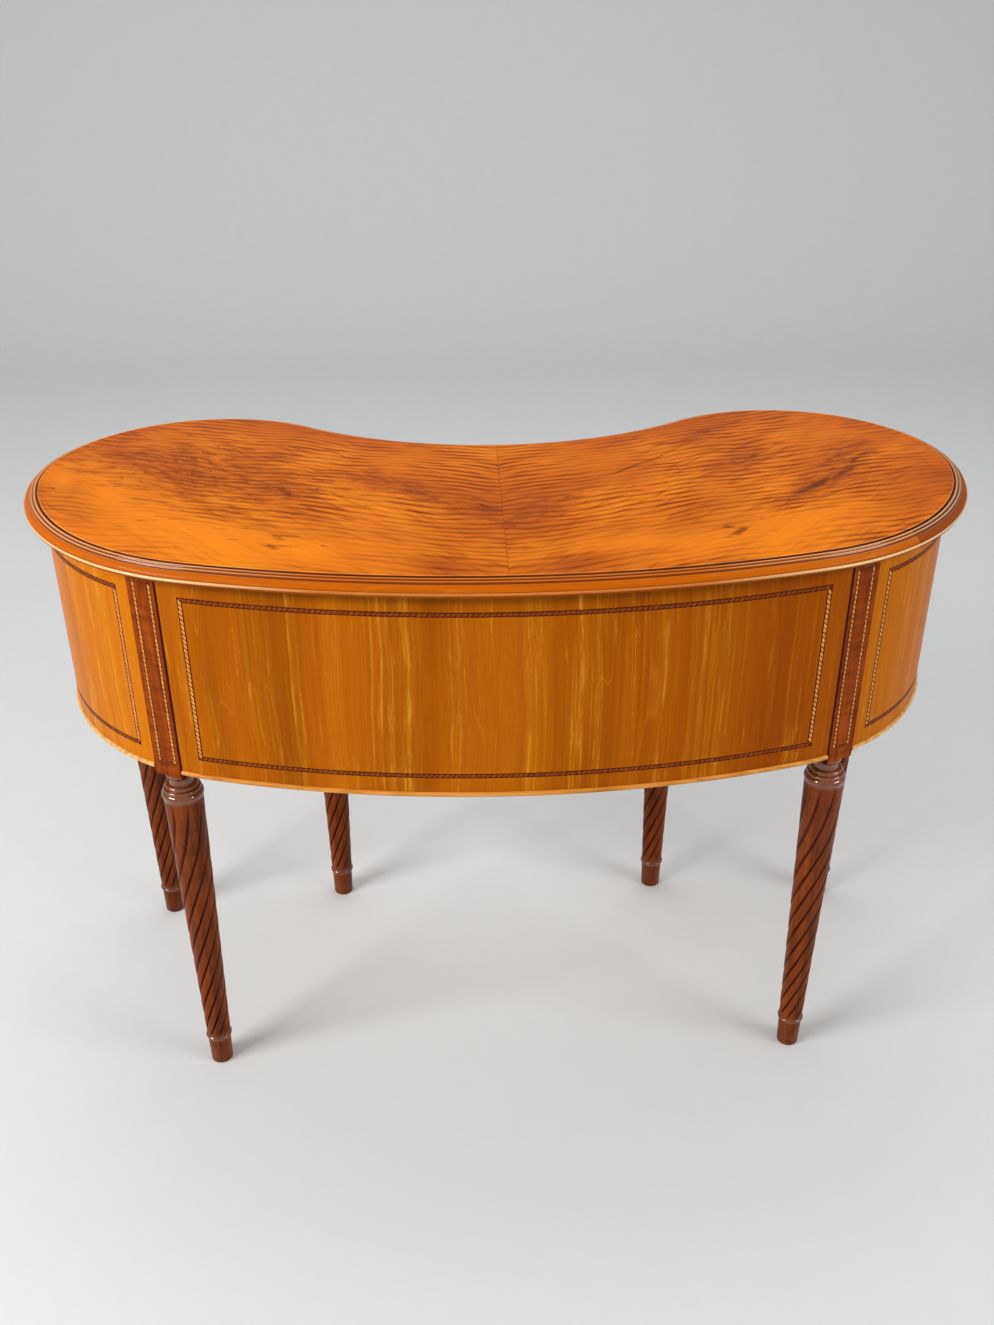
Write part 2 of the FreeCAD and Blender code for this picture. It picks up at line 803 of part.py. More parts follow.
def build_case():
    back, end = ring_panels()
    save("back_panel", back)
    save_pair("end_panel", end)
    panel = knee_panel()
    save_pair("knee_panel", panel)
    both_ends = [back, end, mirrored(end)]
    save_pair("bottom_board", bay_board(case_bottom, floor_top, both_ends))
    bay_rail = face_rail(bay_start_x, bay_end_x, rail_base, rail_top)
    knee_rail = face_rail(-knee_opening_x, knee_opening_x, rail_base, rail_top)
    save_pair("drawer_rail", bay_rail)
    save("knee_rail", knee_rail)
    top_bay_rail = face_rail(bay_start_x, bay_end_x, top_rail_base, case_top)
    top_knee_rail = face_rail(-knee_opening_x, knee_opening_x, top_rail_base, case_top)
    save("top_rails", [top_knee_rail, top_bay_rail, mirrored(top_bay_rail)])
    dust_base = rail_top - dust_thickness
    save_pair("dust_board", bay_board(dust_base, rail_top, both_ends + [bay_rail]))
    save("knee_board", knee_board(dust_base, rail_top, both_ends + [knee_rail]))
    save("drawer_guides", drawer_guides())


def build_top():
    strips = kicker_strips()
    screws = [screw(x, y) for x, y in screw_places(strips)]
    board = slab(moulding_width, case_top, desk_height - veneer_thickness)
    drilled = []
    for strip in strips:
        for piece in screws:
            strip = strip.cut(piece)
        drilled.append(strip)
    for piece in screws:
        board = board.cut(piece)
    save("top_board", board)
    sheet = slab(moulding_width, desk_height - veneer_thickness, desk_height)
    half = sheet.common(box(0, desk_width, -desk_depth, desk_depth, 0, 2 * desk_height))
    save_pair("top_veneer", half)
    for name, piece in edge_mouldings().items():
        save(name, piece)
    save("kickers", drilled)
    save("top_screws", screws)
    save("glue_blocks", glue_blocks(strips))


def build_trim():
    save("stringing_back", back_string_strips())
    save_pair("stringing_end", end_string_strips())
    right = post_string_strips()
    save("stringing_posts", right + [mirrored(strip) for strip in right])
    back_bead, end_bead, bay_bead = bead_lengths()
    save("bottom_bead_back", back_bead)
    save_pair("bottom_bead_end", end_bead)
    save("bottom_beads_pedestal", [bay_bead, mirrored(bay_bead)])


def build_legs():
    for kind in posts:
        whole = leg(kind)
        if kind == "back":
            for strip in post_string_strips():
                whole = whole.cut(strip)
        save_pair(f"{kind}_leg", whole)


def build_drawers():
    names = ("front", "box", "fittings", "bail")
    for name, shapes in zip(names, drawer("bay", floor_top)):
        save_pair(f"lower_drawer_{name}", shapes)
        save_pair(f"upper_drawer_{name}", raised(shapes, rail_top - floor_top))
    front, carcass, fittings, bails = drawer("knee", rail_top)
    save("knee_drawer_front", front)
    save("knee_drawer_box", carcass)
    save("knee_drawer_fittings", fittings)
    save("knee_drawer_bail_left", bails[0])
    save("knee_drawer_bail_right", bails[1])


os.makedirs("parts", exist_ok=True)
build_top()
build_case()
build_trim()
build_legs()
build_drawers()
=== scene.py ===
import math
from functools import partial

import bmesh
import bpy
from mathutils import Matrix, Vector


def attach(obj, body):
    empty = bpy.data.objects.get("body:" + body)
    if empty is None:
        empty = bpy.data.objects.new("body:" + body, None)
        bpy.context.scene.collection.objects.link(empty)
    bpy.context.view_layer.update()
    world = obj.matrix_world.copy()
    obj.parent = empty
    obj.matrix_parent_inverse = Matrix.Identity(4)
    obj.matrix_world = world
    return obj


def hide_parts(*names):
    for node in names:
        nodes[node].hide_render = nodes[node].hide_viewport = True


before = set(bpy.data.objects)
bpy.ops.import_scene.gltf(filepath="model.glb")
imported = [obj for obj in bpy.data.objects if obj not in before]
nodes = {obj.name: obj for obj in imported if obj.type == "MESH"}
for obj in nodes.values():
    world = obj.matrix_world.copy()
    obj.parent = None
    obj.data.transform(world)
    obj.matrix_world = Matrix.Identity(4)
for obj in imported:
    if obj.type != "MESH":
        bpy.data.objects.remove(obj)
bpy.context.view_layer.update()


def tone(code):
    # sRGB hex to the linear colour that the shaders take
    parts = [int(code[i:i + 2], 16) / 255 for i in (1, 3, 5)]
    return [c / 12.92 if c <= 0.04045 else ((c + 0.055) / 1.055) ** 2.4 for c in parts] + [1]


def per(mm):
    # texture scale at which one feature measures this many millimetres
    return 1000 / mm


# kinds of node, some with the operation that they are set to
maths, vectors, mapping, noiseMap, ramp, mix, coordinates, attribute, separate, combine, rotate = (
    "ShaderNode" + kind for kind in (
        "Math", "VectorMath", "Mapping", "TexNoise", "ValToRGB", "Mix", "TexCoord", "Attribute",
        "SeparateXYZ", "CombineXYZ", "VectorRotate"))
times, plus, minus, over, timesPlus, raisedTo, larger, absolute = (
    maths + " " + operation for operation in (
        "MULTIPLY", "ADD", "SUBTRACT", "DIVIDE", "MULTIPLY_ADD", "POWER", "MAXIMUM", "ABSOLUTE"))
moved, apart, scaled = (vectors + " " + operation for operation in ("ADD", "SUBTRACT", "SCALE"))
inputIndex, inputPosition, namedAttribute, sampleIndex, domainSize, setPosition, setMaterial = (
    "GeometryNode" + kind for kind in (
        "InputIndex", "InputPosition", "InputNamedAttribute", "SampleIndex", "AttributeDomainSize",
        "SetPosition", "SetMaterial"))


def add(tree, kind, inputs=(), out=0, stops=(), **settings):
    # one node with its settings, and values and links in order or by socket; gives back an output
    kind, *operation = kind.split()
    made = tree.nodes.new(kind)
    if operation:
        made.operation = operation[0]
    for name, value in settings.items():
        setattr(made, name, value)
    inputs = inputs if isinstance(inputs, dict) else dict(enumerate(inputs))
    for socket, value in inputs.items():
        if isinstance(value, bpy.types.NodeSocket):
            tree.links.new(value, made.inputs[socket])
        else:
            made.inputs[socket].default_value = value
    for i, (place, colour) in enumerate(stops):
        marks = made.color_ramp.elements
        mark = marks[i] if i < 2 else marks.new(1.0)
        mark.position = place
        mark.color = tone(colour) if isinstance(colour, str) else (colour, colour, colour, 1)
    return made.outputs[out] if made.outputs else made


def newMaterial(name):
    # an empty finish, what adds its nodes, and the place on the object that its patterns read
    made = bpy.data.materials.new(name)
    made.use_nodes = True
    made.node_tree.nodes.clear()
    node = partial(add, made.node_tree)
    return made, node, node(coordinates, out=3)


def swayed(node, place, wander, reach):
    # the same place pushed about a little, so that no line of the figure runs straight
    push = node(noiseMap, {"Vector": place, "Scale": per(wander), "Detail": 2.0}, out=1)
    push = node(apart, (push, (0.5, 0.5, 0.5)))
    push = node(scaled, {0: push, "Scale": reach})
    return node(moved, (place, push))


def fibres(node, place, grain, width, length, **more):
    # a pattern drawn out along one axis: its features' width and length in mm
    scale = [per(width)] * 3
    scale[grain] = per(length)
    along = node(mapping, {0: place, 3: scale})
    return node(noiseMap, {"Vector": along, "Scale": 1.0, **more})


def byHeight(node, place, heights):
    # a share that changes with the height above the floor
    return node(ramp, (node(separate, (place,), out=2),), stops=heights)


def polish(node, colour, layers, rough, height, strength, **sockets):
    # ends every finish. A layer is a share and the colour that it lays on, or a shade and None; rough
    # is one number, or a pattern with its spread and least; 1 mm is the most that height can stand.
    for share, code in layers:
        if code:
            colour = node(mix, {0: share, 6: colour, 7: tone(code)}, out=2, data_type="RGBA")
        else:
            colour = node(mix, {0: 1.0, 6: colour, 7: share}, out=2, data_type="RGBA", blend_type="MULTIPLY")
    if isinstance(rough, tuple):
        rough = node(timesPlus, rough)
    normal = node("ShaderNodeBump", {"Height": height, "Strength": strength, "Distance": 0.001})
    values = {"Base Color": colour, "Roughness": rough, "Normal": normal}
    values.update({name.replace("_", " "): value for name, value in sockets.items()})
    shader = node("ShaderNodeBsdfPrincipled", values)
    node("ShaderNodeOutputMaterial", {"Surface": shader})


print("stage: finishes")

# Satinwood veneer with a flame figure, french polished: bright amber under close wavy bars of dark
# ripple that rise away from the seam, with smoky brown patches, thin dark hair lines that rise more
# steeply, and a few knots.
flame = {
    "gold": "#e47e09", "behind": "#9c3a0c", "smoke": "#923d0e", "deep": "#7d3307", "hair": "#6b2d08",
    "knot": "#5c260b", "worn": "#f4ad60",
    "sway": 190, "swayReach": 0.05, "patch": 85, "rippleSpacing": 12, "rippleWave": 100, "seam": 0.0005,
    "waveRepeat": 0.314,  # the wave map repeats at this much of its own unit
    "fray": (-3.2, 2.5), "calming": (-1.1, 1.0), "goldShare": 0.85, "seamShare": 0.45, "blotShare": 2.1,
    "ways": {"figure": math.radians(-42), "ripple": math.radians(-15), "mottle": math.radians(-24)},
    "patterns": {  # length and width in mm, the way they run, detail, distortion
        "cloud": (260, 120, "figure", 3.0, 0.0), "grain": (130, 2.6, "figure", 4.0, 0.0),
        "hairs": (210, 12, "figure", 1.5, 0.2), "broken": (46, 9, "ripple", 3.0, 0.4),
        "mottle": (23, 6.5, "mottle", 2.0, 0.9),
    },
    "shares": {  # what each is read from, and how much shows at which value of it
        "lines": ("grain", (0.3, 0.84), (0.46, 0.98), (0.68, 1.05)),
        "smoke": ("smoky", (0.0, 0.0), (0.35, 0.28), (1.0, 0.42)),
        "bars": ("waves", (0.05, 1.0), (0.32, 0.5), (0.64, 0.0)),
        "hairs": ("hairs", (0.47, 0.0), (0.5, 0.5), (0.53, 0.0)),
        "behind": ("depth", (0.58, 0.0), (0.77, 0.42)), "broken": ("broken", (0.36, 0.2), (0.53, 1.0)),
        "patchy": ("patch", (0.35, 0.35), (0.58, 1.0)), "blots": ("mottle", (0.42, 1.0), (0.5, 0.0)),
        "dark": ("knots", (0.05, 0.0), (0.35, 0.75)), "rim": ("rim", (0.72, 0.0), (0.98, 1.0)),
    },
}
# places of each leaf: distance from the seam, place in depth, lean in degrees, length and width
figureLeft = {
    # the left leaf's tones are a little lighter than the right's, partly painted light from the left; its
    # first gold place, at the far left, is partly a painted sheen of that light
    "side": -1, "shift": 0.0, "tones": ("#ac4e0a", "#c2600b", "#d46f0d", "#e28010"),
    "gold": [(0.465, -0.02, 65, 0.19, 0.08), (0.53, 0.03, 80, 0.13, 0.05), (0.21, -0.175, 6, 0.22, 0.075)],
    "smoky": [(0.37, 0.06, 31, 0.2, 0.085), (0.265, -0.01, 30, 0.08, 0.04), (0.09, -0.03, 34, 0.15, 0.026),
              (0.02, -0.082, 36, 0.05, 0.02)],
    "knots": [(0.258, -0.018, 62, 0.022, 0.005), (0.246, -0.15, 50, 0.011, 0.004),
              (0.248, -0.176, 40, 0.012, 0.004), (0.144, 0.02, 32, 0.018, 0.0035),
              (0.012, -0.076, 38, 0.028, 0.003)],
}
figureRight = {
    "side": 1, "shift": 0.03, "tones": ("#a64b08", "#c05e09", "#d26c0a", "#e27b0c"),
    "gold": [(0.16, -0.175, 4, 0.2, 0.055)],
    "smoky": [(0.302, 0.062, 38, 0.065, 0.026), (0.385, -0.015, 46, 0.09, 0.024),
              (0.04, -0.085, 50, 0.07, 0.03), (0.279, 0.17, 44, 0.07, 0.014), (0.43, 0.07, 50, 0.07, 0.012)],
    "knots": [(0.379, -0.018, 46, 0.034, 0.0075), (0.417, 0.012, 48, 0.03, 0.0055),
              (0.352, -0.045, 42, 0.016, 0.0055), (0.256, -0.157, 60, 0.017, 0.006),
              (0.244, -0.145, 150, 0.009, 0.003), (0.448, 0.055, 52, 0.036, 0.004),
              (0.156, 0.04, 36, 0.04, 0.0028), (0.19, 0.07, 40, 0.03, 0.0025)],
}


def flameVeneer(name, figure):
    made, node, place = newMaterial(name)
    place = node(mapping, {0: place, 1: (0, 0, figure["shift"]), 3: (figure["side"], 1, 1)})
    leaf = swayed(node, place, flame["sway"], flame["swayReach"])
    turned = {way: node(rotate, {0: leaf, 3: turn}, rotation_type="Z_AXIS")
              for way, turn in flame["ways"].items()}
    fields = {}
    for key, (length, width, way, detail, distortion) in flame["patterns"].items():
        along = node(mapping, {0: turned[way], 3: (per(length), per(width), 1)})
        fields[key] = node(noiseMap, {"Vector": along, "Scale": 1.0, "Detail": detail, "Roughness": 0.6,
                                      "Distortion": distortion})
    fields["patch"] = node(noiseMap, {
        "Vector": turned["ripple"], "Scale": per(flame["patch"]), "Detail": 2.0})
    fields["rim"] = node(attribute, out=2, attribute_name="rim")
    fields["depth"] = node(plus, (node(separate, (leaf,), out=1), 0.5))
    waves = (per(flame["rippleWave"]), per(flame["rippleSpacing"] / flame["waveRepeat"]), 1)
    waves = node(mapping, {0: turned["ripple"], 3: waves})
    fields["waves"] = node("ShaderNodeTexWave", {
        "Vector": waves, "Scale": 1.0, "Distortion": 4.0, "Detail": 2.0, "Detail Scale": 1.0,
        "Detail Roughness": 0.5}, out=1, bands_direction="Y")

    # each place is 1 at its middle and 0 at its edge, frayed by the figure around it
    for key, fray in (("gold", "cloud"), ("smoky", "broken"), ("knots", "grain")):
        fields[key] = 0.0
        frayed = node(timesPlus, (fields[fray], *flame["fray"]))
        for out, depth, lean, length, width in figure[key]:
            near = node(apart, (leaf, (out, depth, figure["shift"])))
            near = node(rotate, {0: near, 3: -math.radians(lean)}, rotation_type="Z_AXIS")
            near = node(mapping, {0: near, 3: (1 / length, 1 / width, 0)})
            near = node(vectors, (near,), out=1, operation="LENGTH")
            near = node(times, (near, frayed))
            near = node(minus, (1.0, near), use_clamp=True)
            fields[key] = node(larger, (fields[key], near))

    shares = {key: node(ramp, (fields[source],), stops=stops)
              for key, (source, *stops) in flame["shares"].items()}
    shares["gold"] = fields["gold"]
    aside = node(separate, (place,), out=0)
    shares["seam"] = node(maths, (aside, flame["seam"]), operation="LESS_THAN")
    # gold places have little ripple
    calm = node(timesPlus, (fields["gold"], *flame["calming"]), use_clamp=True)
    weakened = {
        "gold": [flame["goldShare"]], "seam": [flame["seamShare"]], "dark": [shares["broken"]],
        "bars": [shares["broken"], shares["patchy"], calm], "hairs": [shares["patchy"], calm],
        "blots": [shares["smoke"], flame["blotShare"]], "rim": [fields["cloud"]],
    }
    for key, others in weakened.items():
        for other in others:
            shares[key] = node(times, (shares[key], other), use_clamp=True)
    shares["bars"] = node(larger, (shares["bars"], shares["blots"]))

    colour = node(ramp, (fields["cloud"],), stops=zip((0.32, 0.44, 0.56, 0.7), figure["tones"]))
    # the rim colour on the arris is partly wear, partly a painted highlight
    layers = [(shares[key], flame.get(paint)) for key, paint in (
        ("gold", "gold"), ("lines", None), ("behind", "behind"), ("smoke", "smoke"), ("bars", "deep"),
        ("hairs", "hair"), ("dark", "knot"), ("seam", "knot"), ("rim", "worn"))]
    polish(node, colour, layers, (fields["cloud"], 0.14, 0.24), fields["waves"], 0.05,
           Specular_IOR_Level=0.03)
    return made


# Straight-grained satinwood, french polished: an even golden brown with thin pale streaks from top
# to bottom, faint loops where the grain dips, and small flecks of crossfire beside the streaks.
plain = {
    "streak": "#bc720c", "glint": "#dd9a2c", "wax": "#2c0e04", "rubbed": "#ecc288", "blush": "#873402",
    "darkPolish": "#2f0f04", "sway": 230, "swayReach": 0.018, "loops": 9.0, "fleckShare": 0.14,
    "patterns": {  # width and length in mm, detail, roughness
        "band": (70, 1400, 3.0, 0.65), "streak": (10, 1400, 4.0, 0.65), "line": (1.3, 1400, 4.0, 0.65),
        "contour": (70, 620, 2.0, 0.65), "fleck": (17.5, 3.5, 2.0, 0.5), "break": (7, 60, 2.0, 0.5),
    },
    "stripes": [(0.5, 0.0), (0.62, 0.3), (0.72, 0.8)], "shade": [(0.3, 0.86), (0.5, 0.99), (0.7, 1.1)],
    "rings": [(0.0, 0.13), (0.05, 0.0)], "glints": [(0.39, 0.0), (0.46, 0.4)],
    "breaks": [(0.4, 0.1), (0.58, 1.0)], "fine": [(0.45, 0.1), (0.6, 1.0)],
}
# the moulding across its section in mm: where it holds wax, is painted pale and keeps its gloss. The
# pale on the crests and the bead is partly worn polish, partly painted highlight; it and the coat are
# dulled in the middle and bright towards both ends, by distance from the middle.
edgeWearAndHighlights = {
    "wax": [(0, 0.5), (2.0, 0.5), (2.4, 0.0), (5.4, 0.0), (5.8, 0.8), (6.2, 0.0), (9.2, 0.0), (9.6, 0.8),
            (10.0, 0.0), (16.0, 0.0), (16.3, 0.5), (16.6, 0.0)],
    "rubbed": [(2.3, 0.0), (2.9, 0.85), (4.2, 0.8), (5.2, 0.0), (6.2, 0.0), (6.8, 0.85), (8.0, 0.8),
               (9.0, 0.0), (9.9, 0.0), (10.2, 0.7), (10.6, 0.0), (16.5, 0.0), (16.9, 1.0)],
    "gloss": [(0, 0.0), (2.2, 0.0), (2.5, 0.7), (10.0, 0.7), (10.8, 0.05), (16.3, 0.05), (16.8, 0.5),
              (20, 0.5)],
    "ends": [(0.2, 0.13), (0.36, 0.9), (0.5, 0.8), (0.57, 0.35)], "span": 20,
}


def plainSatinwood(name, tones, grain, wearAndHighlights=None, bright=(), blush=0.0, paintedShadeHeights=()):
    made, node, onObject = newMaterial(name)
    place = node(attribute, out=1, attribute_name="grain") if wearAndHighlights else onObject
    drift = swayed(node, place, plain["sway"], plain["swayReach"])
    band, streak, line, contour, fleck, gaps = (
        fibres(node, drift, grain, width, length, Detail=detail, Roughness=roughness)
        for width, length, detail, roughness in plain["patterns"].values())
    sideways = node(plus, (node(separate, (drift,)), 0.5))
    # darker and redder towards the right: painted shade, as the light falls from the left, partly the
    # veneer's own redder tone
    rightShadeShare = node(ramp, (sideways,), stops=[(0.4, 0.0), (0.85, blush)])
    stripes = node(ramp, (streak,), stops=plain["stripes"])
    rings = node(maths, (node(times, (contour, plain["loops"])), 1.0), operation="PINGPONG")
    rings = node(ramp, (rings,), stops=plain["rings"])
    glints = node(timesPlus, (fleck, plain["fleckShare"], node(times, (streak, line))))
    glints = node(ramp, (glints,), stops=plain["glints"])
    if bright:
        # streaks that stand out at known places: middle, half width in mm, strength
        marks = []
        for middle, reach, share in bright:
            marks += [((middle + mm) / 1000 + 0.5, value)
                      for mm, value in ((-reach, 0.0), (0, share), (reach, 0.0))]
        known = node(ramp, (sideways,), stops=marks)
        known = node(times, (known, node(ramp, (line,), stops=plain["fine"])))
        glints = node(larger, (glints, known))
    glints = node(times, (glints, node(ramp, (gaps,), stops=plain["breaks"])))
    shade = node(ramp, (line,), stops=plain["shade"])
    layers = [(rightShadeShare, plain["blush"]), (stripes, plain["streak"]), (rings, plain["glint"]),
              (glints, plain["glint"]), (shade, None)]
    if paintedShadeHeights:
        # painted shade at some heights: the shadow under the moulding and over the bead
        layers.append((byHeight(node, place, paintedShadeHeights), plain["darkPolish"]))
    coat = 0.0
    if wearAndHighlights:
        outwards = node(times, (node(separate, (place,), out=1), per(wearAndHighlights["span"])))
        worn = {key: node(ramp, (outwards,), stops=[(mm / wearAndHighlights["span"], share) for mm, share in wearAndHighlights[key]])
                for key in ("wax", "rubbed", "gloss")}
        aside = node(absolute, (node(separate, (onObject,), out=0),))
        ends = node(ramp, (aside,), stops=wearAndHighlights["ends"])
        # pale crests and bead, strongest towards both ends: partly worn polish, partly painted highlight
        rubbed, coat = (node(times, (worn[key], ends)) for key in ("rubbed", "gloss"))
        layers += [(worn["wax"], plain["wax"]), (rubbed, plain["rubbed"])]
    colour = node(ramp, (band,), stops=zip((0.3, 0.5, 0.7), tones))
    polish(node, colour, layers, (band, 0.12, 0.28), line, 0.04, Coat_Weight=coat, Coat_Roughness=0.05,
           Coat_IOR=1.65, Specular_IOR_Level=0.03)
    return made


# Mahogany, turned and polished: red brown, with fine dark pores along the grain and wax left dark
# in the hollows
mahogany = {
    "waxed": "#380b04", "pits": [(0.3, 0.74), (0.42, 1.0)], "hollows": [(0.2, 0.0), (0.8, 0.85)],
    "streaks": (11, 130), "ripples": (45, 9), "pores": (1.3, 14),  # width and length in mm
    "jointFade": 2,
}


def mahoganyWood(name, tones, grain=2, figure=0.8, hollow=None, jointShadow=None, glossy=(), paintedShadeHeights=()):
    made, node, place = newMaterial(name)
    streaks = fibres(node, place, grain, *mahogany["streaks"], Detail=4.0, Roughness=0.6, Distortion=0.4)
    ripples = fibres(node, place, grain, *mahogany["ripples"], Detail=2.0)
    pores = fibres(node, place, grain, *mahogany["pores"], Detail=2.0)
    pits = node(ramp, (pores,), stops=mahogany["pits"])
    layers = [(node(ramp, (ripples,), stops=[(0.36, figure), (0.6, 1.08)]), None), (pits, None)]
    if hollow:
        deep = node(attribute, out=2, attribute_name=hollow)
        layers.append((node(ramp, (deep,), stops=mahogany["hollows"]), mahogany["waxed"]))
    if jointShadow:
        # painted shadow of the open joint beside the post: a dark line along the edge that faces the middle
        middle, way, reach = jointShadow
        mirrored = node(vectors, (place,), operation="ABSOLUTE")
        x = node(separate, (mirrored,), out=0)
        y = node(separate, (place,), out=1)
        spot = node(combine, (x, y))
        spot = node(apart, (spot, middle))
        aside = node(vectors, (spot, way), out=1, operation="DOT_PRODUCT")
        line = node(minus, (aside, -reach))
        line = node(times, (line, -per(mahogany["jointFade"])), use_clamp=True)
        layers.append((line, mahogany["waxed"]))
    # painted shade at some heights, as the shadow under the moulding
    if paintedShadeHeights:
        layers.append((byHeight(node, place, paintedShadeHeights), plain["darkPolish"]))
    coat = byHeight(node, place, glossy) if glossy else 0.0  # turned rings have kept their polish
    colour = node(ramp, (streaks,), stops=zip((0.3, 0.5, 0.72), tones))
    polish(node, colour, layers, (streaks, 0.12, 0.22), pits, 0.05, Coat_Weight=coat, Coat_Roughness=0.05,
           Coat_IOR=1.8, Specular_IOR_Level=0.03)
    return made


# Boxwood, stained veneer, pine and oak, oiled or waxed: quiet close streaks along the grain, duller
# than the polished veneers
def simpleWood(name, tones, width, length, grain, roughness, coat, crossed=False):
    made, node, place = newMaterial(name)
    streaks = fibres(node, place, grain, width, length, Detail=4.0, Distortion=0.3)
    if crossed:
        # boards that face the front have their grain from side to side
        crosswise = fibres(node, place, 0, width, length, Detail=4.0, Distortion=0.3)
        facing = node(absolute, (node(separate, (node(coordinates, out=1),), out=1),))
        facing = node(maths, (facing, 0.7), operation="GREATER_THAN")
        streaks = node(mix, {0: facing, 2: streaks, 3: crosswise})
    colour = node(ramp, (streaks,), stops=zip((0.3, 0.52, 0.72), tones))
    polish(node, colour, (), (streaks, 0.15, roughness), streaks, 0.08, Coat_Weight=coat, Coat_Roughness=0.15,
           Specular_IOR_Level=0.04)
    return made


# Brass lacquered long ago and plain steel: soft clouds of tarnish, and fine dull specks
def metal(name, tones, roughness, grit):
    made, node, place = newMaterial(name)
    clouds = node(noiseMap, {"Vector": place, "Scale": per(14), "Detail": 3.0})
    grain = node(noiseMap, {"Vector": place, "Scale": per(grit), "Detail": 3.0})
    specks = node(ramp, (grain,), stops=[(0.3, 0.8), (0.42, 1.0)])
    colour = node(ramp, (clouds,), stops=zip((0.38, 0.56, 0.72), tones))
    polish(node, colour, [(specks, None)], (clouds, 0.2, roughness), grain, 0.03, Metallic=1.0)
    return made


leftLeaf = flameVeneer("satinwood flame veneer left", figureLeft)
rightLeaf = flameVeneer("satinwood flame veneer right", figureRight)
# painted shadow on the case and posts under the moulding and over the bead, by height above the floor
shadowUnderTop = [(0.722, 0.0), (0.734, 0.3), (0.742, 0.6)]  # height above the floor and darkness there
shadowOverBead = [(0.4805, 0.35), (0.487, 0.0)]
casePanel = plainSatinwood(
    "satinwood panel veneer", ("#934a03", "#ac5904", "#bb6806"), 2, blush=0.55, paintedShadeHeights=shadowOverBead + shadowUnderTop,
    bright=[(-233, 3, 0.6), (-188, 3, 0.5), (-141, 3, 1.0), (-112, 9, 0.8), (-68, 2, 0.6), (78, 4, 1.0),
            (171, 5, 0.7), (215, 3, 0.6), (237, 3, 1.0)])
# the end veneer is lighter than the back's: partly its own sheet, partly painted light falling on the ends
# from the sides
endPanel = plainSatinwood(
    "satinwood end veneer", ("#aa5a04", "#c16b04", "#ce7a06"), 2, blush=0.22, paintedShadeHeights=shadowOverBead + shadowUnderTop,
    bright=[(-545, 8, 0.6), (-520, 5, 0.9), (-495, 8, 0.8), (-470, 4, 0.5), (470, 5, 0.6), (500, 8, 0.5),
            (530, 6, 0.6)])
mouldingWood = plainSatinwood("satinwood moulding", ("#964205", "#ae5007", "#bd5f0a"), 0, edgeWearAndHighlights)
mouldingRed = plainSatinwood("satinwood moulding red", ("#6c2a08", "#863a0b", "#9a480e"), 0, edgeWearAndHighlights)
drawerVeneer = plainSatinwood("satinwood drawer veneer", ("#94500a", "#ad5e08", "#bb6b0c"), 2)
railWood = mahoganyWood("mahogany rail", ("#5a2408", "#7c380d", "#9a4d13"), 0)
kneeWood = mahoganyWood("mahogany knee panel", ("#64280a", "#84390d", "#9c4b13"), 2, 0.85)
brass = metal("brass lacquered", ("#ad7a2c", "#c9963e", "#d9aa50"), 0.14, 0.9)
steel = metal("steel screw", ("#6f6e6c", "#807e7b", "#8e8c88"), 0.3, 0.8)

# streaks' width and length in mm, axis of the grain, roughness and coat
beadGrain, inlayGrain, pineGrain = (4, 260, 0, 0.3, 0.3), (2, 9, 2, 0.35, 0.0), (9, 420, 0)
# a paler copy of the boxwood for the end beads: painted highlight
highlitBead = simpleWood("boxwood bead pale", ("#bd8440", "#d8a55e", "#e8c088"), *beadGrain)
boxwood = simpleWood("boxwood bead", ("#b46c20", "#cc8434", "#dc9a4c"), *beadGrain)
paleInlay = simpleWood("boxwood inlay", ("#bd7638", "#d8924a", "#eaac66"), *inlayGrain)
dimInlay = simpleWood("boxwood inlay darkened", ("#6c330f", "#824216", "#965420"), *inlayGrain)
fadedInlay = simpleWood("stained inlay faded", ("#541a08", "#68260a", "#7a3210"), *inlayGrain)
warmInlay = simpleWood("stained inlay warm", ("#6c2c0c", "#823c12", "#96501c"), *inlayGrain)
darkInlay = simpleWood("stained inlay", ("#3a0c02", "#541504", "#6c2408"), *inlayGrain)
stainedWood = simpleWood("pine stained", ("#4c260e", "#623416", "#74421e"), *pineGrain, 0.5, 0.0)
carcassWood = simpleWood("pine carcass", ("#a8794a", "#c39a66", "#d2ad7c"), *pineGrain, 0.6, 0.0)
liningWood = simpleWood("oak drawer lining", ("#8f6a3e", "#ab8656", "#bf9c6b"), 5, 300, 1, 0.5, 0.0, True)

print("stage: plan")

# The plan of the desk as four arcs on each side, from the middle of the convex side to the kneehole;
# bow, shoulder, lobe, hollow and the legs' places are shares
desk = {
    "width": 1.15, "depth": 0.54, "height": 0.76, "bow": 0.2483, "shoulder": 0.3934, "lobe": 0.2665,
    "hollow": 0.1043, "caseInset": 0.022, "caseTop": 0.742, "step": 0.004, "legInset": 0.041,
    "blockWidth": 0.04, "backLeg": 0.173, "endLeg": 0.311, "kneeLeg": 0.082,
}


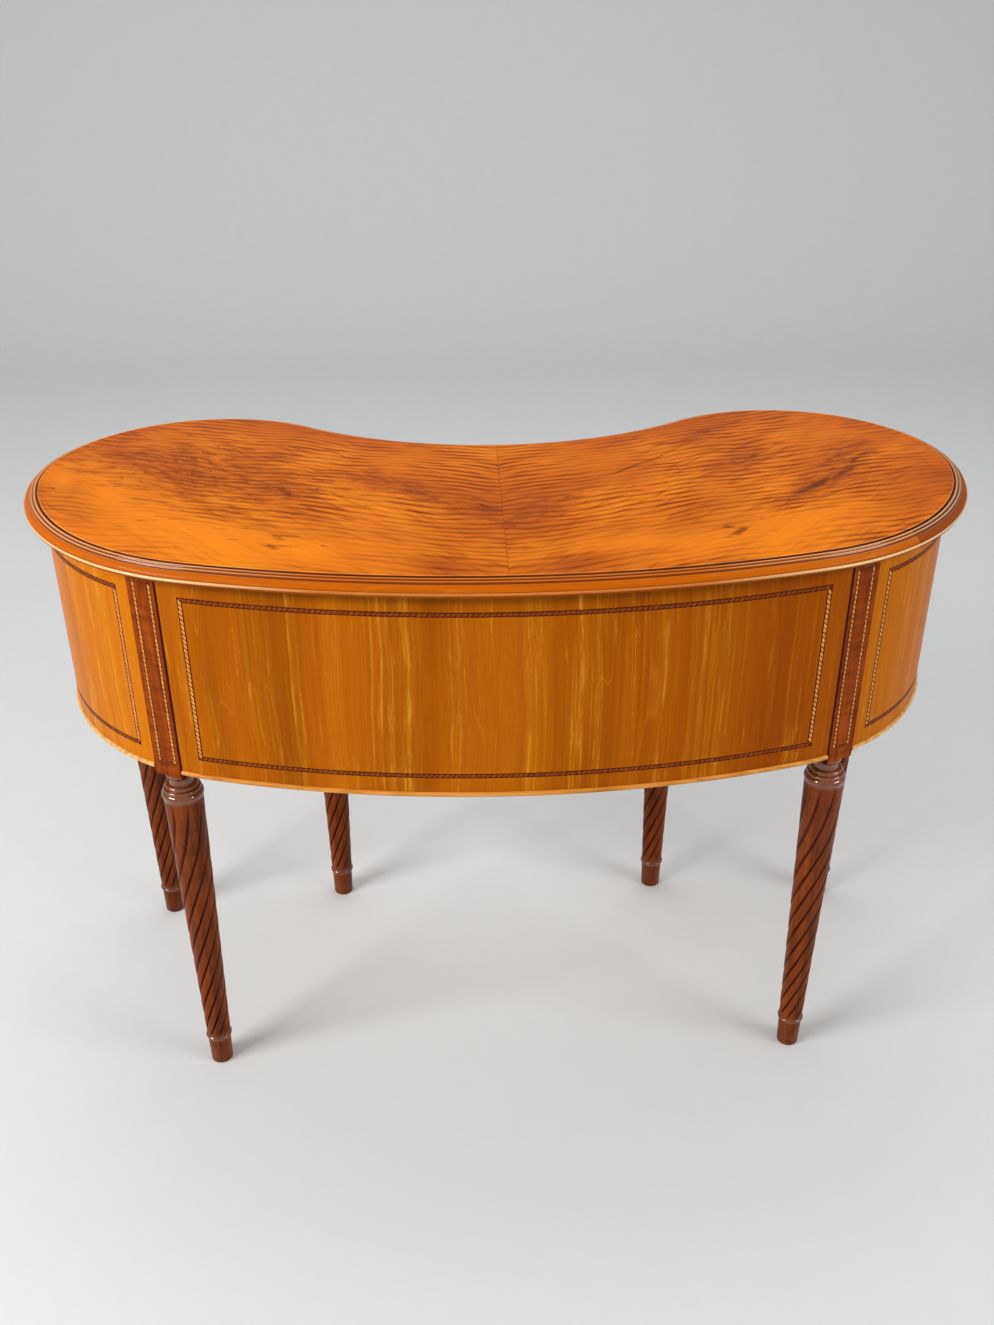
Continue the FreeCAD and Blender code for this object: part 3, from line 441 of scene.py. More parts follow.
def planArcs():
    w, d = desk["width"] / 2, desk["depth"] / 2
    bow = desk["bow"] * 2 * d
    side = math.sqrt(4 * w * d)
    big, shoulder, lobe = (w * w + bow * bow) / (2 * bow), desk["shoulder"] * side, desk["lobe"] * side
    hollow = desk["hollow"] * 2 * w
    bigY, lobeX, lobeY = big - d, w - lobe, d - lobe
    span = math.hypot(lobeX, lobeY - bigY)
    a, b = big - shoulder, shoulder - lobe
    along = (span * span + a * a - b * b) / (2 * span)
    aside = math.sqrt(a * a - along * along)
    ux, uy = lobeX / span, (lobeY - bigY) / span
    sx, sy = along * ux + aside * uy, bigY + along * uy - aside * ux
    waist = (lobeX * lobeX + hollow * hollow) / (2 * hollow) - lobe
    waistY = d - hollow + waist
    turns = [-math.pi / 2, math.atan2(sy - bigY, sx), math.atan2(lobeY - sy, lobeX - sx),
             math.atan2(waistY - lobeY, -lobeX)]
    return {  # middle, radius, side that is outside, first and last angle
        "convex": (0, bigY, big, 1, turns[0], turns[1]),
        "shoulder": (sx, sy, shoulder, 1, turns[1], turns[2]),
        "lobe": (lobeX, lobeY, lobe, 1, turns[2], turns[3]),
        "waist": (0, waistY, waist, -1, turns[3] - math.pi, -math.pi / 2),
    }


arcs = planArcs()


def onArc(name, inset, turn):
    # a point of the plan and the outward direction there
    cx, cy, radius, sign = arcs[name][:4]
    reach = radius - sign * inset
    way = Vector((math.cos(turn), math.sin(turn), 0))
    return Vector((cx, cy, 0)) + way * reach, way * sign


def walk(inset, stretches, step=desk["step"]):
    # spots with their outward directions along stretches of arcs: (name, start, end) in radians
    spots = []
    for name, start, end in stretches:
        start = arcs[name][4] if start is None else start
        end = arcs[name][5] if end is None else end
        count = max(2, round(abs(end - start) * arcs[name][2] / step))
        first = 1 if spots else 0
        spots += [onArc(name, inset, start + (end - start) * i / count) for i in range(first, count + 1)]
    return spots


def flip(spots):
    # the same walk on the left half, from its far end back
    return [(Vector((-p.x, p.y, p.z)), Vector((-n.x, n.y, n.z))) for p, n in reversed(spots)]


def up(level):
    # a step upwards
    return Vector((0, 0, level))


def newObject(name, mesh):
    made = bpy.data.objects.new(name, mesh)
    bpy.context.scene.collection.objects.link(made)
    return made


def pointCloud(name, places, **readings):
    # a mesh of loose points that a node tree reads, with named numbers or directions on each
    mesh = bpy.data.meshes.new(name)
    mesh.from_pydata([tuple(place) for place in places], [], [])
    for key, values in readings.items():
        directions = hasattr(values[0], "__len__")
        layer = mesh.attributes.new(key, "FLOAT_VECTOR" if directions else "FLOAT", "POINT")
        for item, value in zip(layer.data, values):
            setattr(item, "vector" if directions else "value", value)
    return newObject(name, mesh)


def newTree(name, sockets):
    tree = bpy.data.node_groups.new(name, "GeometryNodeTree")
    tree.interface.new_socket("Geometry", in_out="OUTPUT", socket_type="NodeSocketGeometry")
    tree.interface.new_socket("Geometry", in_out="INPUT", socket_type="NodeSocketGeometry")
    for socket, kind in sockets.items():
        tree.interface.new_socket(socket, in_out="INPUT", socket_type="NodeSocket" + kind)
    return tree, partial(add, tree), tree.nodes.new("NodeGroupInput").outputs


def lattice(node, rows, columns):
    # a grid whose vertices are told their row and their column
    grid = node("GeometryNodeMeshGrid", {"Vertices X": node(domainSize, (rows,)), "Vertices Y": columns})
    number = node(inputIndex)
    row = node(over, (number, columns))
    row = node(maths, (row,), operation="FLOOR")
    return grid, row, node(maths, (number, columns), operation="MODULO")


def readAt(node, geometry, number, names):
    # what the points of a row or section carry, read at one of them; "place" is where it is
    read = []
    for name in names:
        kind = "FLOAT_VECTOR" if name in ("place", "across", "rise") else "FLOAT"
        value = (node(inputPosition) if name == "place" else
                 node(namedAttribute, {"Name": name}, data_type=kind))
        read.append(node(sampleIndex, (geometry, value, number), data_type=kind))
    return read


def finish(tree, geometry):
    # ends every tree
    add(tree, "NodeGroupOutput", (add(tree, "GeometryNodeRealizeInstances", (geometry,)),))
    return tree


def laid(tree, grid, name, kind, value, spots, material):
    # the grid's vertices keep a named value, then go to their spots
    body = add(tree, "GeometryNodeStoreNamedAttribute", {0: grid, "Name": name, 3: value}, data_type=kind)
    body = add(tree, setPosition, {0: body, "Position": spots})
    return finish(tree, add(tree, setMaterial, {0: body, "Material": material}))


def grow(name, host, tree, **values):
    # run the tree on the host and keep the result as a plain mesh
    modifier = host.modifiers.new(tree.name, "NODES")
    modifier.node_group = tree
    for item in tree.interface.items_tree:
        if item.in_out == "INPUT" and item.name.replace(" ", "") in values:
            modifier[item.identifier] = values[item.name.replace(" ", "")]
    host.update_tag()
    bpy.context.view_layer.update()
    depsgraph = bpy.context.evaluated_depsgraph_get()
    mesh = bpy.data.meshes.new_from_object(host.evaluated_get(depsgraph))
    bpy.data.objects.remove(host)
    return newObject(name, mesh)


def close(piece, sharp=35):
    # merge doubles, fill open ends, turn faces outwards, and keep edges above an angle sharp
    shape = bmesh.new()
    shape.from_mesh(piece.data)
    bmesh.ops.remove_doubles(shape, verts=shape.verts, dist=2e-6)
    loose = [edge for edge in shape.edges if edge.is_boundary]
    if loose:
        bmesh.ops.holes_fill(shape, edges=loose, sides=0)
    bmesh.ops.recalc_face_normals(shape, faces=shape.faces)
    for face in shape.faces:
        face.smooth = True
    for edge in shape.edges:
        edge.smooth = len(edge.link_faces) == 2 and edge.calc_face_angle() < math.radians(sharp)
    shape.to_mesh(piece.data)
    shape.free()
    return piece


def fromShape(name, shape, wood):
    # the shape as a closed object of its own
    mesh = bpy.data.meshes.new(name)
    shape.to_mesh(mesh)
    shape.free()
    mesh.materials.append(wood)
    return close(newObject(name, mesh))


def joined(name, pieces):
    # one object out of several, keeping their materials
    with bpy.context.temp_override(active_object=pieces[0], selected_editable_objects=pieces):
        bpy.ops.object.join()
    pieces[0].name = name
    return pieces[0]


print("stage: node trees")


def sweepTree():
    # A section swept along a row of points. Each point carries the directions "across" and "rise" that
    # the section's X and Z follow, and its reach along the row; "grain" keeps the flattened place.
    tree, node, given = newTree("sweptSection", {"Section": "Object", "Finish": "Material"})
    section = node("GeometryNodeObjectInfo", {"Object": given["Section"]}, out=4)
    grid, row, column = lattice(node, given["Geometry"], node(domainSize, (section,)))
    place, across, rise, reach = readAt(node, given["Geometry"], row, ("place", "across", "rise", "reach"))
    corner, = readAt(node, section, column, ["place"])
    side = node(separate, (corner,), out=0)
    height = node(separate, (corner,), out=2)
    outwards = node(scaled, {0: across, "Scale": side})
    upwards = node(scaled, {0: rise, "Scale": height})
    spot = node(moved, (place, outwards))
    spot = node(moved, (spot, upwards))
    flat = node(combine, (reach, side, height))
    return laid(tree, grid, "grain", "FLOAT_VECTOR", flat, spot, given["Finish"])


def turningTree():
    # A turned column. Each point of its profile carries how far the flutes have turned there and how
    # deep and wide they are; the columns of the grid follow the flutes round.
    tree, node, given = newTree("turnedColumn", {
        "Flutes": "Int", "Columns": "Int", "Groove Share": "Float", "Crown": "Float", "Axis": "Vector",
        "Finish": "Material"})
    perTurn = node(times, (given["Flutes"], given["Columns"]))
    around = node(plus, (perTurn, 1.0))
    grid, row, column = lattice(node, given["Geometry"], around)
    profile, twist, depth, width = readAt(node, given["Geometry"], row, ("place", "twist", "depth", "width"))
    radius = node(separate, (profile,), out=0)
    level = node(separate, (profile,), out=2)
    share = node(maths, (node(over, (column, given["Columns"])),), operation="FRACT")
    share = node(absolute, (node(minus, (share, 0.5)),))
    # a round-bottomed groove, and a crown between the grooves
    groove = node(times, (given["Groove Share"], width))
    bowl = node(raisedTo, (node(over, (share, groove)), 2.0))
    bowl = node(minus, (1.0, bowl), use_clamp=True)
    bowl = node(raisedTo, (bowl, 0.7))
    ridge = node(minus, (1.0, node(times, (share, 2.0))))
    ridge = node(raisedTo, (ridge, 2.0))
    ridge = node(times, (ridge, given["Crown"]))
    cut = node(times, (node(plus, (bowl, ridge)), depth))
    radius = node(minus, (radius, cut))
    turn = node(over, (column, perTurn))
    turn = node(timesPlus, (turn, 2 * math.pi, twist))
    x, y = (node(times, (node(maths, (turn,), operation=way), radius)) for way in ("COSINE", "SINE"))
    spot = node(combine, (x, y, level))
    spot = node(moved, (spot, given["Axis"]))
    deep = node(times, (depth, per(2)), use_clamp=True)  # full where the flutes are 2 mm deep
    deep = node(times, (deep, bowl))
    return laid(tree, grid, "hollow", "FLOAT", deep, spot, given["Finish"])


def tilingTree():
    # A row of small slanting tiles, light and dark in turn, each lying along its point's "along" and
    # facing its "outward"
    tree, node, given = newTree("chequerTiles", {
        "Length": "Float", "Width": "Float", "Depth": "Float", "Slant": "Float", "Light Share": "Float",
        "Light": "Material", "Dark": "Material"})
    size = node(combine, (given["Length"], given["Width"], given["Depth"]))
    tile = node("GeometryNodeMeshCube", {"Size": size})
    lean = node(separate, (node(inputPosition),), out=1)
    lean = node(times, (lean, given["Slant"]))
    tile = node(setPosition, {0: tile, "Offset": node(combine, (lean,))})
    spots = node("GeometryNodeMeshToPoints", {0: given["Geometry"]})
    outward, along = (node(namedAttribute, {"Name": name}, data_type="FLOAT_VECTOR")
                      for name in ("outward", "along"))
    facing = node("FunctionNodeAxesToRotation", (outward, along), primary_axis="Z", secondary_axis="X")
    odd = node(maths, (node(inputIndex), 2.0), operation="MODULO")
    even = node(minus, (1.0, odd))
    longer = node(combine, (given["Light Share"], 1.0, 1.03))  # a hair proud
    row = tree.nodes.new("GeometryNodeJoinGeometry")
    for chosen, finishName, scale in ((odd, "Dark", (1, 1, 1)), (even, "Light", longer)):
        shaded = node(setMaterial, {0: tile, "Material": given[finishName]})
        placed = node("GeometryNodeInstanceOnPoints", {
            "Points": spots, "Selection": chosen, "Instance": shaded, "Rotation": facing, "Scale": scale})
        tree.links.new(placed, row.inputs[0])
    return finish(tree, row.outputs[0])


sweep, turning, tiling = sweepTree(), turningTree(), tilingTree()

print("stage: top")

# The edge of the top: quirk, two reeds, a bellied fascia and a bead, outwards and down from the field
moulding = {
    "width": 0.018, "quirkWidth": 0.002, "quirkDepth": 0.0032, "quirkStep": 0.00075, "reed": 0.0019,
    "reedRise": 0.0013, "reedDrop": 0.0016, "belly": 0.0014, "fasciaDrop": 0.0126, "bead": 0.0017,
    "joint": math.radians(-52), "gap": 0.00012,
}


def bow(start, via, end, count=8):
    # points of the circle through three points of a section, the first one left out
    (ax, az), (bx, bz), (cx, cz) = start, via, end
    d = 2 * (ax * (bz - cz) + bx * (cz - az) + cx * (az - bz))
    a2, b2, c2 = ax * ax + az * az, bx * bx + bz * bz, cx * cx + cz * cz
    ox = (a2 * (bz - cz) + b2 * (cz - az) + c2 * (az - bz)) / d
    oz = (a2 * (cx - bx) + b2 * (ax - cx) + c2 * (bx - ax)) / d
    radius = math.hypot(ax - ox, az - oz)
    turns = [math.atan2(z - oz, x - ox) for x, z in (start, via, end)]
    whole = 2 * math.pi
    sweepBy = (turns[2] - turns[0]) % whole
    if (turns[1] - turns[0]) % whole > sweepBy:
        sweepBy -= whole
    return [(ox + radius * math.cos(turns[0] + sweepBy * i / count),
             oz + radius * math.sin(turns[0] + sweepBy * i / count)) for i in range(1, count + 1)]


def edgeSection():
    m = moulding
    quirkZ = desk["height"] - m["quirkDepth"]
    u1, z1 = m["quirkWidth"], quirkZ + m["quirkStep"]
    u2, u3 = u1 + 2 * m["reed"], u1 + 4 * m["reed"]
    z2, z3 = z1 - m["reedDrop"], z1 - 2 * m["reedDrop"]
    beadU, fascia = m["width"] - m["bead"], desk["height"] - m["fasciaDrop"]
    line = [(0, quirkZ), (u1, quirkZ), (u1, z1)]
    line += bow(line[-1], (u1 + m["reed"], z1 + m["reedRise"]), (u2, z2))
    line += bow(line[-1], (u2 + m["reed"], z2 + m["reedRise"]), (u3, z3))
    belly = ((u3 + beadU + m["belly"]) / 2, (z3 + fascia) / 2 + m["belly"])
    line += bow(line[-1], belly, (beadU, fascia), 10)
    line += bow(line[-1], (m["width"] - m["gap"], fascia - m["bead"]), (beadU, fascia - 2 * m["bead"]))
    line += [(beadU, desk["caseTop"]), (0, desk["caseTop"]), line[0]]
    return pointCloud("edgeSection", [(u, 0, z) for u, z in line])


def measured(path):
    # distance along a walk at each of its spots
    reach = [0.0]
    for (a, _), (b, _) in zip(path, path[1:]):
        reach.append(reach[-1] + (b - a).length)
    return reach


def sweptAlong(name, path, section, wood):
    # an upright section that faces outwards all along a walk in plan
    host = pointCloud(name, [p for p, n in path], across=[n for p, n in path], rise=[(0, 0, 1)] * len(path),
                      reach=measured(path))
    return close(grow(name, host, sweep, Section=section, Finish=wood))


def paced(path, pitch, start, end, middles=False):
    # evenly spaced places on a walk between two distances along it
    reach = measured(path)
    count = max(1, round((end - start) / pitch))
    spots = []
    for i in range(count if middles else count + 1):
        target = start + (end - start) * (i + (0.5 if middles else 0)) / count
        k = min(max(j for j, r in enumerate(reach) if r <= target + 1e-9), len(path) - 2)
        share = (target - reach[k]) / (reach[k + 1] - reach[k])
        (a, n), (b, m) = path[k], path[k + 1]
        spots.append((a.lerp(b, share), n.lerp(m, share).normalized()))
    return spots


edgeProfile = edgeSection()
halfBack = walk(moulding["width"], [("convex", None, None), ("shoulder", None, moulding["joint"])])
rightEnd = walk(moulding["width"], [("shoulder", moulding["joint"], None), ("lobe", None, None)])
halfKnee = walk(moulding["width"], [("waist", None, None)])
edges = {
    "edge_moulding_back": (flip(halfBack) + halfBack[1:], mouldingWood),
    "edge_moulding_right": (rightEnd, mouldingRed),
    "edge_moulding_left": (flip(rightEnd), mouldingWood),
    "edge_moulding_knee": (halfKnee + flip(halfKnee)[1:], mouldingWood),
}
for name, (path, wood) in edges.items():
    path = paced(path, desk["step"], moulding["gap"], measured(path)[-1] - moulding["gap"])
    piece = sweptAlong(name + "_swept", path, edgeProfile, wood)
    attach(piece, "case")
    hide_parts(name)
bpy.data.objects.remove(edgeProfile)

# The two leaves of veneer, with an arris painted pale, partly worn polish and partly a painted highlight
leaf = {"thickness": 0.0008, "arris": 0.0004, "arrisWear": 0.7, "rings": (0.0, 0.0009, 0.0022, 0.005, 0.012)}


def veneerLeaf(name, mirror, wood):
    top, edge = desk["height"], moulding["width"]
    levels = [(edge, top - leaf["thickness"], 0.0), (edge, top - leaf["arris"], leaf["arrisWear"])]
    levels += [(edge + leaf["arris"] + ring, top, 1.0 - i / (len(leaf["rings"]) - 1))
               for i, ring in enumerate(leaf["rings"])]
    shape = bmesh.new()
    rim = shape.verts.layers.float.new("rim")
    loops = []
    for depth, level, worn in levels:
        loop = []
        for p, n in walk(depth, [(name, None, None) for name in arcs]):
            vert = shape.verts.new((-p.x if mirror else p.x, p.y, level))
            vert[rim] = worn
            loop.append(vert)
        loops.append(loop)
    for lower, upper in zip(loops, loops[1:]):
        for i in range(len(lower)):
            j = (i + 1) % len(lower)
            shape.faces.new((lower[i], lower[j], upper[j], upper[i]))
    shape.faces.new(loops[-1])
    shape.faces.new(list(reversed(loops[0])))
    return fromShape(name, shape, wood)


for name, mirror, wood in (("left", True, leftLeaf), ("right", False, rightLeaf)):
    piece = veneerLeaf("top_veneer_" + name + "_leaf", mirror, wood)
    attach(piece, "case")
    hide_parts("top_veneer_" + name)

print("stage: stringing")

# Chequer stringing: slanting tiles of pale and dark wood between two dark lines, flush with the case
stringing = {
    "width": 0.006, "postWidth": 0.004, "line": 0.0012, "postLine": 0.0008, "pitch": 0.003,
    "depth": 0.001, "proud": 0.00004, "slant": 0.7, "tileShare": 0.99, "lightShare": 1.35, "rows": 8,
    "top": 0.715, "bottom": 0.505, "postTop": 0.7295, "postBottom": 0.4905, "postStep": 0.003,
}


def lineSection(width, depth):
    half = width / 2
    return pointCloud("lineSection", [(-half, 0, 0), (half, 0, 0), (half, 0, -depth), (-half, 0, -depth),
                                      (-half, 0, 0)])


def stringFrame(name, path, low, high, width, line):
    # four sides: the level ones follow the walk, the upright ones stand at its ends
    kit = stringing
    total = measured(path)[-1]
    section = lineSection(line, kit["depth"])
    lines = ((line / 2, 0.0), (width - line / 2, width - line))  # the outer and the inner line
    made, level, upright = [], [], []

    def strip(spots, across):
        host = pointCloud("strip", [p + n * kit["proud"] for p, n in spots], across=across,
                          rise=[n for p, n in spots], reach=measured(spots))
        made.append(close(grow("strip", host, sweep, Section=section, Finish=darkInlay)))

    for edge, inwards in ((high, -1), (low, 1)):
        for offset, start in lines:
            spots = [(p + up(edge + inwards * offset), n)
                     for p, n in paced(path, desk["step"], start, total - start)]
            strip(spots, [(0, 0, 1)] * len(spots))
        level += [(p + up(edge + inwards * width / 2), n, Vector((-n.y, n.x, 0)))
                  for p, n in paced(path, kit["pitch"], line, total - line, True)]
    for end, inwards in ((0.0, 1), (total, -1)):
        for offset, start in lines:
            (p, n), = paced(path, 1.0, end + inwards * offset, end + inwards * offset, True)
            lows, highs = low + start, high - start
            spots = [(p + up(lows + (highs - lows) * i / kit["rows"]), n) for i in range(kit["rows"] + 1)]
            strip(spots, [(-n.y, n.x, 0)] * len(spots))
        (p, n), = paced(path, 1.0, end + inwards * width / 2, end + inwards * width / 2, True)
        lows, highs = low + width - line, high - width + line
        count = round((highs - lows) / kit["pitch"])
        upright += [(p + up(lows + (highs - lows) * (i + 0.5) / count), n, up(1)) for i in range(count)]
    below = kit["depth"] / 2 - kit["proud"]
    for tiles, light, dark in ((level, dimInlay, fadedInlay), (upright, paleInlay, warmInlay)):
        host = pointCloud("tiles", [p - n * below for p, n, along in tiles],
                          outward=[n for p, n, along in tiles], along=[along for p, n, along in tiles])
        made.append(grow("tiles", host, tiling, Length=kit["pitch"] * kit["tileShare"],
                         Width=width - 2 * line, Depth=kit["depth"], Slant=kit["slant"],
                         LightShare=kit["lightShare"], Light=light, Dark=dark))
    bpy.data.objects.remove(section)
    return joined(name, made)


caseInset = desk["caseInset"]
turnOf = {name: arcs[name][4] + share * (arcs[name][5] - arcs[name][4]) for name, share in (
    ("shoulder", desk["backLeg"]), ("lobe", desk["endLeg"]), ("waist", desk["kneeLeg"]))}
backAxis, endAxis, kneeAxis = (onArc(name, desk["legInset"], turn)[0] for name, turn in turnOf.items())
faceRadius = arcs["shoulder"][2] - caseInset
halfBlock = desk["blockWidth"] / 2
panel = {"backMargin": 0.032, "endMargin": 0.017, "postMargin": 0.0074}

corner = -math.acos((backAxis.x - panel["backMargin"] - arcs["shoulder"][0]) / faceRadius)
backHalf = walk(caseInset, [("convex", None, None), ("shoulder", None, corner)])
backPath = flip(backHalf) + backHalf[1:]
rearY = endAxis.y - halfBlock - panel["endMargin"]
rear = math.asin((rearY - arcs["lobe"][1]) / (arcs["lobe"][2] - caseInset))
first = turnOf["shoulder"] + (halfBlock + panel["endMargin"]) / faceRadius
endPath = walk(caseInset, [("shoulder", first, None), ("lobe", None, rear)])
spread = (halfBlock - panel["postMargin"]) / faceRadius
postPath = walk(caseInset, [("shoulder", turnOf["shoulder"] - spread, turnOf["shoulder"] + spread)],
                stringing["postStep"])

panelFrame = [stringing[key] for key in ("bottom", "top", "width", "line")]
postFrame = [stringing[key] for key in ("postBottom", "postTop", "postWidth", "postLine")]
strings = {
    "stringing_back": [(backPath, *panelFrame)],
    "stringing_end_right": [(endPath, *panelFrame)],
    "stringing_end_left": [(flip(endPath), *panelFrame)],
    "stringing_posts": [(path, *postFrame) for path in (postPath, flip(postPath))],
}
for name, frames in strings.items():
    parts = [stringFrame(name + "_inlay", *values) for values in frames]
    piece = joined(name + "_inlay", parts) if len(parts) > 1 else parts[0]
    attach(piece, "case")
    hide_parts(name)

print("stage: legs")

# Six turned legs: ring and neck under the block, three steps, a taper with eight flutes that wind
# round it, collar and foot. The flutes start as upright points just below the steps and lean more
# as the leg gets thinner.
leg = {
    "blockBase": 0.472, "overlap": 0.003, "blockGap": 0.0004, "flutes": 8, "columns": 18, "grooveShare": 0.13,
    "crown": 0.34, "depth": 0.0019, "start": 0.4335, "startLength": 0.03, "startWidth": 0.04, "end": 0.0495,
    "endLength": 0.008, "lean": 0.4, "leanLength": 0.1, "firstLean": 0.05, "topRing": 0.0172,
    "ringFoot": 0.0152, "neck": 0.0143, "steps": (0.0198, 0.0226, 0.025), "fall": 0.0004,
    "levels": (0.4645, 0.455, 0.4495, 0.4448, 0.4355), "shaftTop": 0.0239, "shaftFoot": 0.0154,
    "shaftRows": 120, "collar": 0.017, "collarTop": 0.047, "collarBase": 0.042, "footTop": 0.015,
    "foot": 0.014, "footArris": 0.0012, "sharp": 50, "jointInset": 0.0044,
}


def legProfile():
    # radius and height from the block down to the floor
    base, foot, fall = leg["blockBase"], leg["ringFoot"], leg["fall"]
    ring, neck, first, second, third = leg["levels"]
    low, middle, high = leg["steps"]
    top = base + leg["overlap"]
    line = [(0, top), (foot, top), (foot, base)]
    # ring, neck and the three steps, each a bow through one point to another
    for via, end, count in (
            ((leg["topRing"], (base + ring) / 2), (foot, ring), 10),
            ((leg["neck"], (ring + neck) / 2), (foot, neck), 8),
            ((low, (neck + first) / 2), (low - fall, first), 8),
            ((middle, (first + second) / 2), (middle - fall, second), 8),
            ((high, (second + third) / 2), (leg["shaftTop"], third), 12)):
        line += bow(line[-1], via, end, count)
    count = leg["shaftRows"]
    down, thinner = leg["collarTop"] - third, leg["shaftFoot"] - leg["shaftTop"]
    line += [(leg["shaftTop"] + thinner * i / count, third + down * i / count) for i in range(1, count + 1)]
    line += bow(line[-1], (leg["collar"], (leg["collarTop"] + leg["collarBase"]) / 2),
                (leg["footTop"], leg["collarBase"]), 10)
    return line + [(leg["foot"], leg["footArris"]), (leg["foot"] - leg["footArris"], 0), (0, 0)]


def fluteRows(profile):
    # turn, depth and width of the flutes at each row, from the top down
    twist, depth, width = [], [], []
    turn = 0.0
    for i, (radius, z) in enumerate(profile):
        below = leg["start"] - z
        lean = leg["firstLean"] + (leg["lean"] - leg["firstLean"]) * min(1, max(0, below / leg["leanLength"]))
        if i and leg["collarTop"] < z < leg["start"]:
            turn -= lean * (profile[i - 1][1] - z) / radius
        opened = min(1, max(0, below / leg["startLength"]))
        faded = min(1, max(0, (z - leg["end"]) / leg["endLength"]))
        twist.append(turn)
        depth.append(leg["depth"] * math.sqrt(opened * faded))
        width.append(leg["startWidth"] + (1 - leg["startWidth"]) * opened ** 0.8)
    return twist, depth, width


def blockOf(name, base, wood):
    # the square block of a leg as the frame has it, from just above its foot
    shape = bmesh.new()
    shape.from_mesh(nodes[name].data)
    bmesh.ops.remove_doubles(shape, verts=shape.verts, dist=1e-6)
    everything = shape.verts[:] + shape.edges[:] + shape.faces[:]
    bmesh.ops.bisect_plane(shape, geom=everything, plane_co=(0, 0, base), plane_no=(0, 0, 1),
                           clear_inner=True)
    return fromShape(name + "_block", shape, wood)


way = onArc("shoulder", 0, turnOf["shoulder"])[1]
# where the painted shadow of the open joint beside each back post lies
jointShadow = (tuple(backAxis), (-way.y, way.x, 0), halfBlock - leg["jointInset"])
blockTones = ("#6c2a06", "#883a08", "#a24d0e")
legWood = mahoganyWood(
    "mahogany turned leg", ("#562206", "#703006", "#883e0a"), 2, 0.93, hollow="hollow",
    glossy=[(0.039, 0.1), (0.041, 0.8), (0.048, 0.8), (0.051, 0.1), (0.432, 0.1), (0.437, 0.9)])
postWood = mahoganyWood("mahogany post", blockTones, 2, 0.78, paintedShadeHeights=shadowUnderTop, jointShadow=jointShadow)
blockWood = mahoganyWood("mahogany block", blockTones, 2, 0.78, paintedShadeHeights=shadowUnderTop)
profile = legProfile()
twist, depth, width = fluteRows(profile)
for kind, axis in (("back", backAxis), ("end", endAxis), ("knee", kneeAxis)):
    for sideName, sign in (("left", -1), ("right", 1)):
        name = kind + "_leg_" + sideName
        host = pointCloud(name, [(r, 0, z) for r, z in profile], twist=twist, depth=depth, width=width)
        turned = grow(name + "_turned", host, turning, Flutes=leg["flutes"], Columns=leg["columns"],
                      GrooveShare=leg["grooveShare"], Crown=leg["crown"], Axis=(sign * axis.x, axis.y, 0),
                      Finish=legWood)
        block = blockOf(name, leg["blockBase"] + leg["blockGap"], postWood if kind == "back" else blockWood)
        piece = joined(name + "_carved", [close(turned, leg["sharp"]), block])
        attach(piece, "case")
        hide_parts(name)

print("stage: finishes of the frame's own pieces")

sameFinish = [
    (casePanel, ["back_panel"]),
    (endPanel, ["end_panel_left", "end_panel_right"]),
    (kneeWood, ["knee_panel_left", "knee_panel_right"]),
    (railWood, ["drawer_rail_left", "drawer_rail_right", "knee_rail", "top_rails"]),
    (stainedWood, ["top_board"]),
    (carcassWood, ["bottom_board_left", "bottom_board_right", "dust_board_left", "dust_board_right",
                   "knee_board", "drawer_guides", "kickers", "glue_blocks"]),
    (boxwood, ["bottom_bead_back", "bottom_beads_pedestal"]),
    (highlitBead, ["bottom_bead_end_left", "bottom_bead_end_right"]),
    (steel, ["top_screws"]),
]
finishOf = {name: wood for wood, names in sameFinish for name in names}
for name in nodes:
    if "_drawer_" in name:  # fronts, boxes, and the brass on them
        finishOf[name] = drawerVeneer if "front" in name else liningWood if "box" in name else brass
for name, wood in finishOf.items():
    nodes[name].data.materials.clear()
    nodes[name].data.materials.append(wood)

print("stage: studio")

studio = {
    "floor": "#d6d7d7", "world": 0.55, "aim": (0, 0, 0.6), "halfWidth": 12.0, "front": -12.0, "bend": 3.0,
    "bendRadius": 1.2, "bendSteps": 16, "wallTop": 5.0,
    "softboxes": {  # place, size, power
        "softbox left": ((-2.6, -1.5, 2.1), (1.5, 0.6), 84.0),
        "softbox right": ((2.5, -1.3, 1.9), (1.3, 0.5), 30.0),
        "softbox above": ((0, 0.9, 2.9), (2.2, 1.4), 20.0),
    },
}


# Matt photographer's paper: an even pale grey, with the faintest cloudiness
def paper(name, code):
    made, node, place = newMaterial(name)
    grain = node(noiseMap, {"Vector": place, "Scale": per(40), "Detail": 3.0})
    shade = node(ramp, (grain,), stops=[(0.3, 0.985), (0.7, 1.0)])
    polish(node, tone(code), [(shade, None)], 0.75, grain, 0.02)
    return made


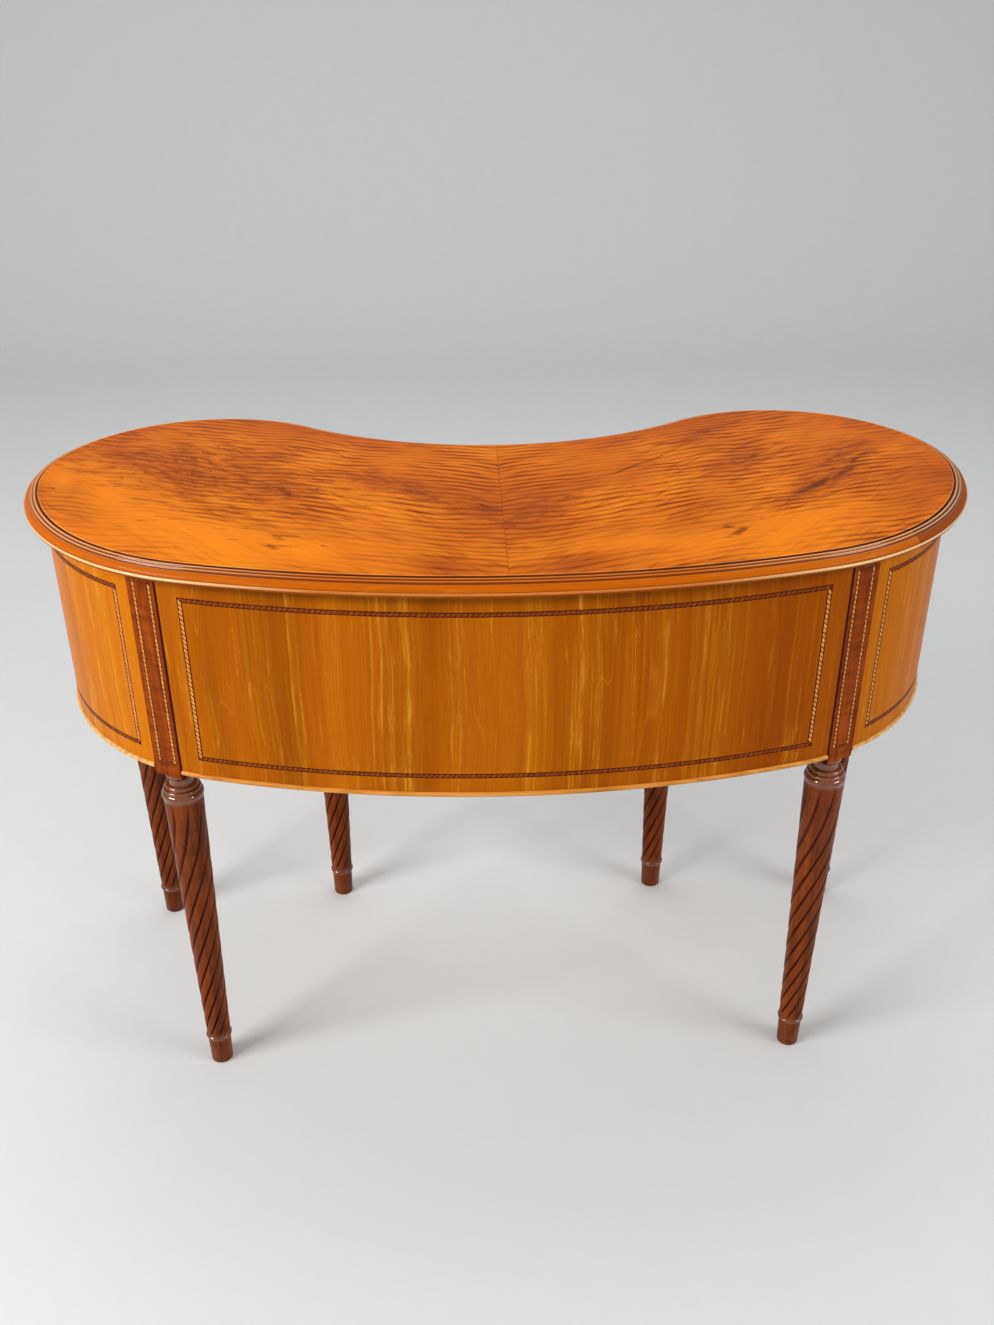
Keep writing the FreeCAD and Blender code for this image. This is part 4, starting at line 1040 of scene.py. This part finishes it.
def sweepFloor():
    # floor that curves up into a backdrop well behind the desk
    bend, radius, steps = studio["bend"], studio["bendRadius"], studio["bendSteps"]
    line = [(studio["front"], 0.0), (bend, 0.0)]
    line += [(bend + radius * math.sin(a), radius - radius * math.cos(a))
             for a in (math.pi / 2 * i / steps for i in range(1, steps + 1))]
    line += [(bend + radius, studio["wallTop"])]
    mesh = bpy.data.meshes.new("floor")
    verts = [(x, y, z) for y, z in line for x in (-studio["halfWidth"], studio["halfWidth"])]
    faces = [(2 * i, 2 * i + 1, 2 * i + 3, 2 * i + 2) for i in range(len(line) - 1)]
    mesh.from_pydata(verts, [], faces)
    mesh.materials.append(paper("studio floor", studio["floor"]))
    for face in mesh.polygons:
        face.use_smooth = True
    return newObject("floor", mesh)


sweepFloor()

for name, (place, size, power) in studio["softboxes"].items():
    lamp = bpy.data.lights.new(name, "AREA")
    lamp.shape = "RECTANGLE"
    lamp.size, lamp.size_y = size
    lamp.energy = power
    softbox = newObject(name, lamp)
    softbox.location = place
    softbox.rotation_euler = (Vector(studio["aim"]) - Vector(place)).to_track_quat("-Z", "Y").to_euler()

world = bpy.data.worlds.new("studio")
world.use_nodes = True
bpy.context.scene.world = world
world.node_tree.nodes.clear()
light = add(world.node_tree, "ShaderNodeBackground", (tone("#ffffff"), studio["world"]))
add(world.node_tree, "ShaderNodeOutputWorld", (light,))

# The photograph's camera: its lens and place were worked out from the desk's outline and its legs
view = {"place": (-0.0533, -1.4623, 1.3431), "turn": 0.0332, "down": 0.5155, "roll": -0.0055,
        "focal": 1305.1, "frameHeight": 1325, "sensor": 36, "clipStart": 0.05}
camera = bpy.data.cameras.new("camera")
camera.sensor_fit = "VERTICAL"
camera.sensor_height = view["sensor"]
camera.lens = view["sensor"] * view["focal"] / view["frameHeight"]
camera.clip_start = view["clipStart"]
cameraObject = newObject("camera", camera)
stand = Matrix.Translation(view["place"]) @ Matrix.Rotation(-view["turn"], 4, "Z")
cameraObject.matrix_world = stand @ Matrix.Rotation(math.pi / 2 - view["down"], 4, "X") @ Matrix.Rotation(
    view["roll"], 4, "Z")
bpy.context.scene.camera = cameraObject
bpy.context.scene.view_settings.view_transform = "Standard"

print("stage: done")
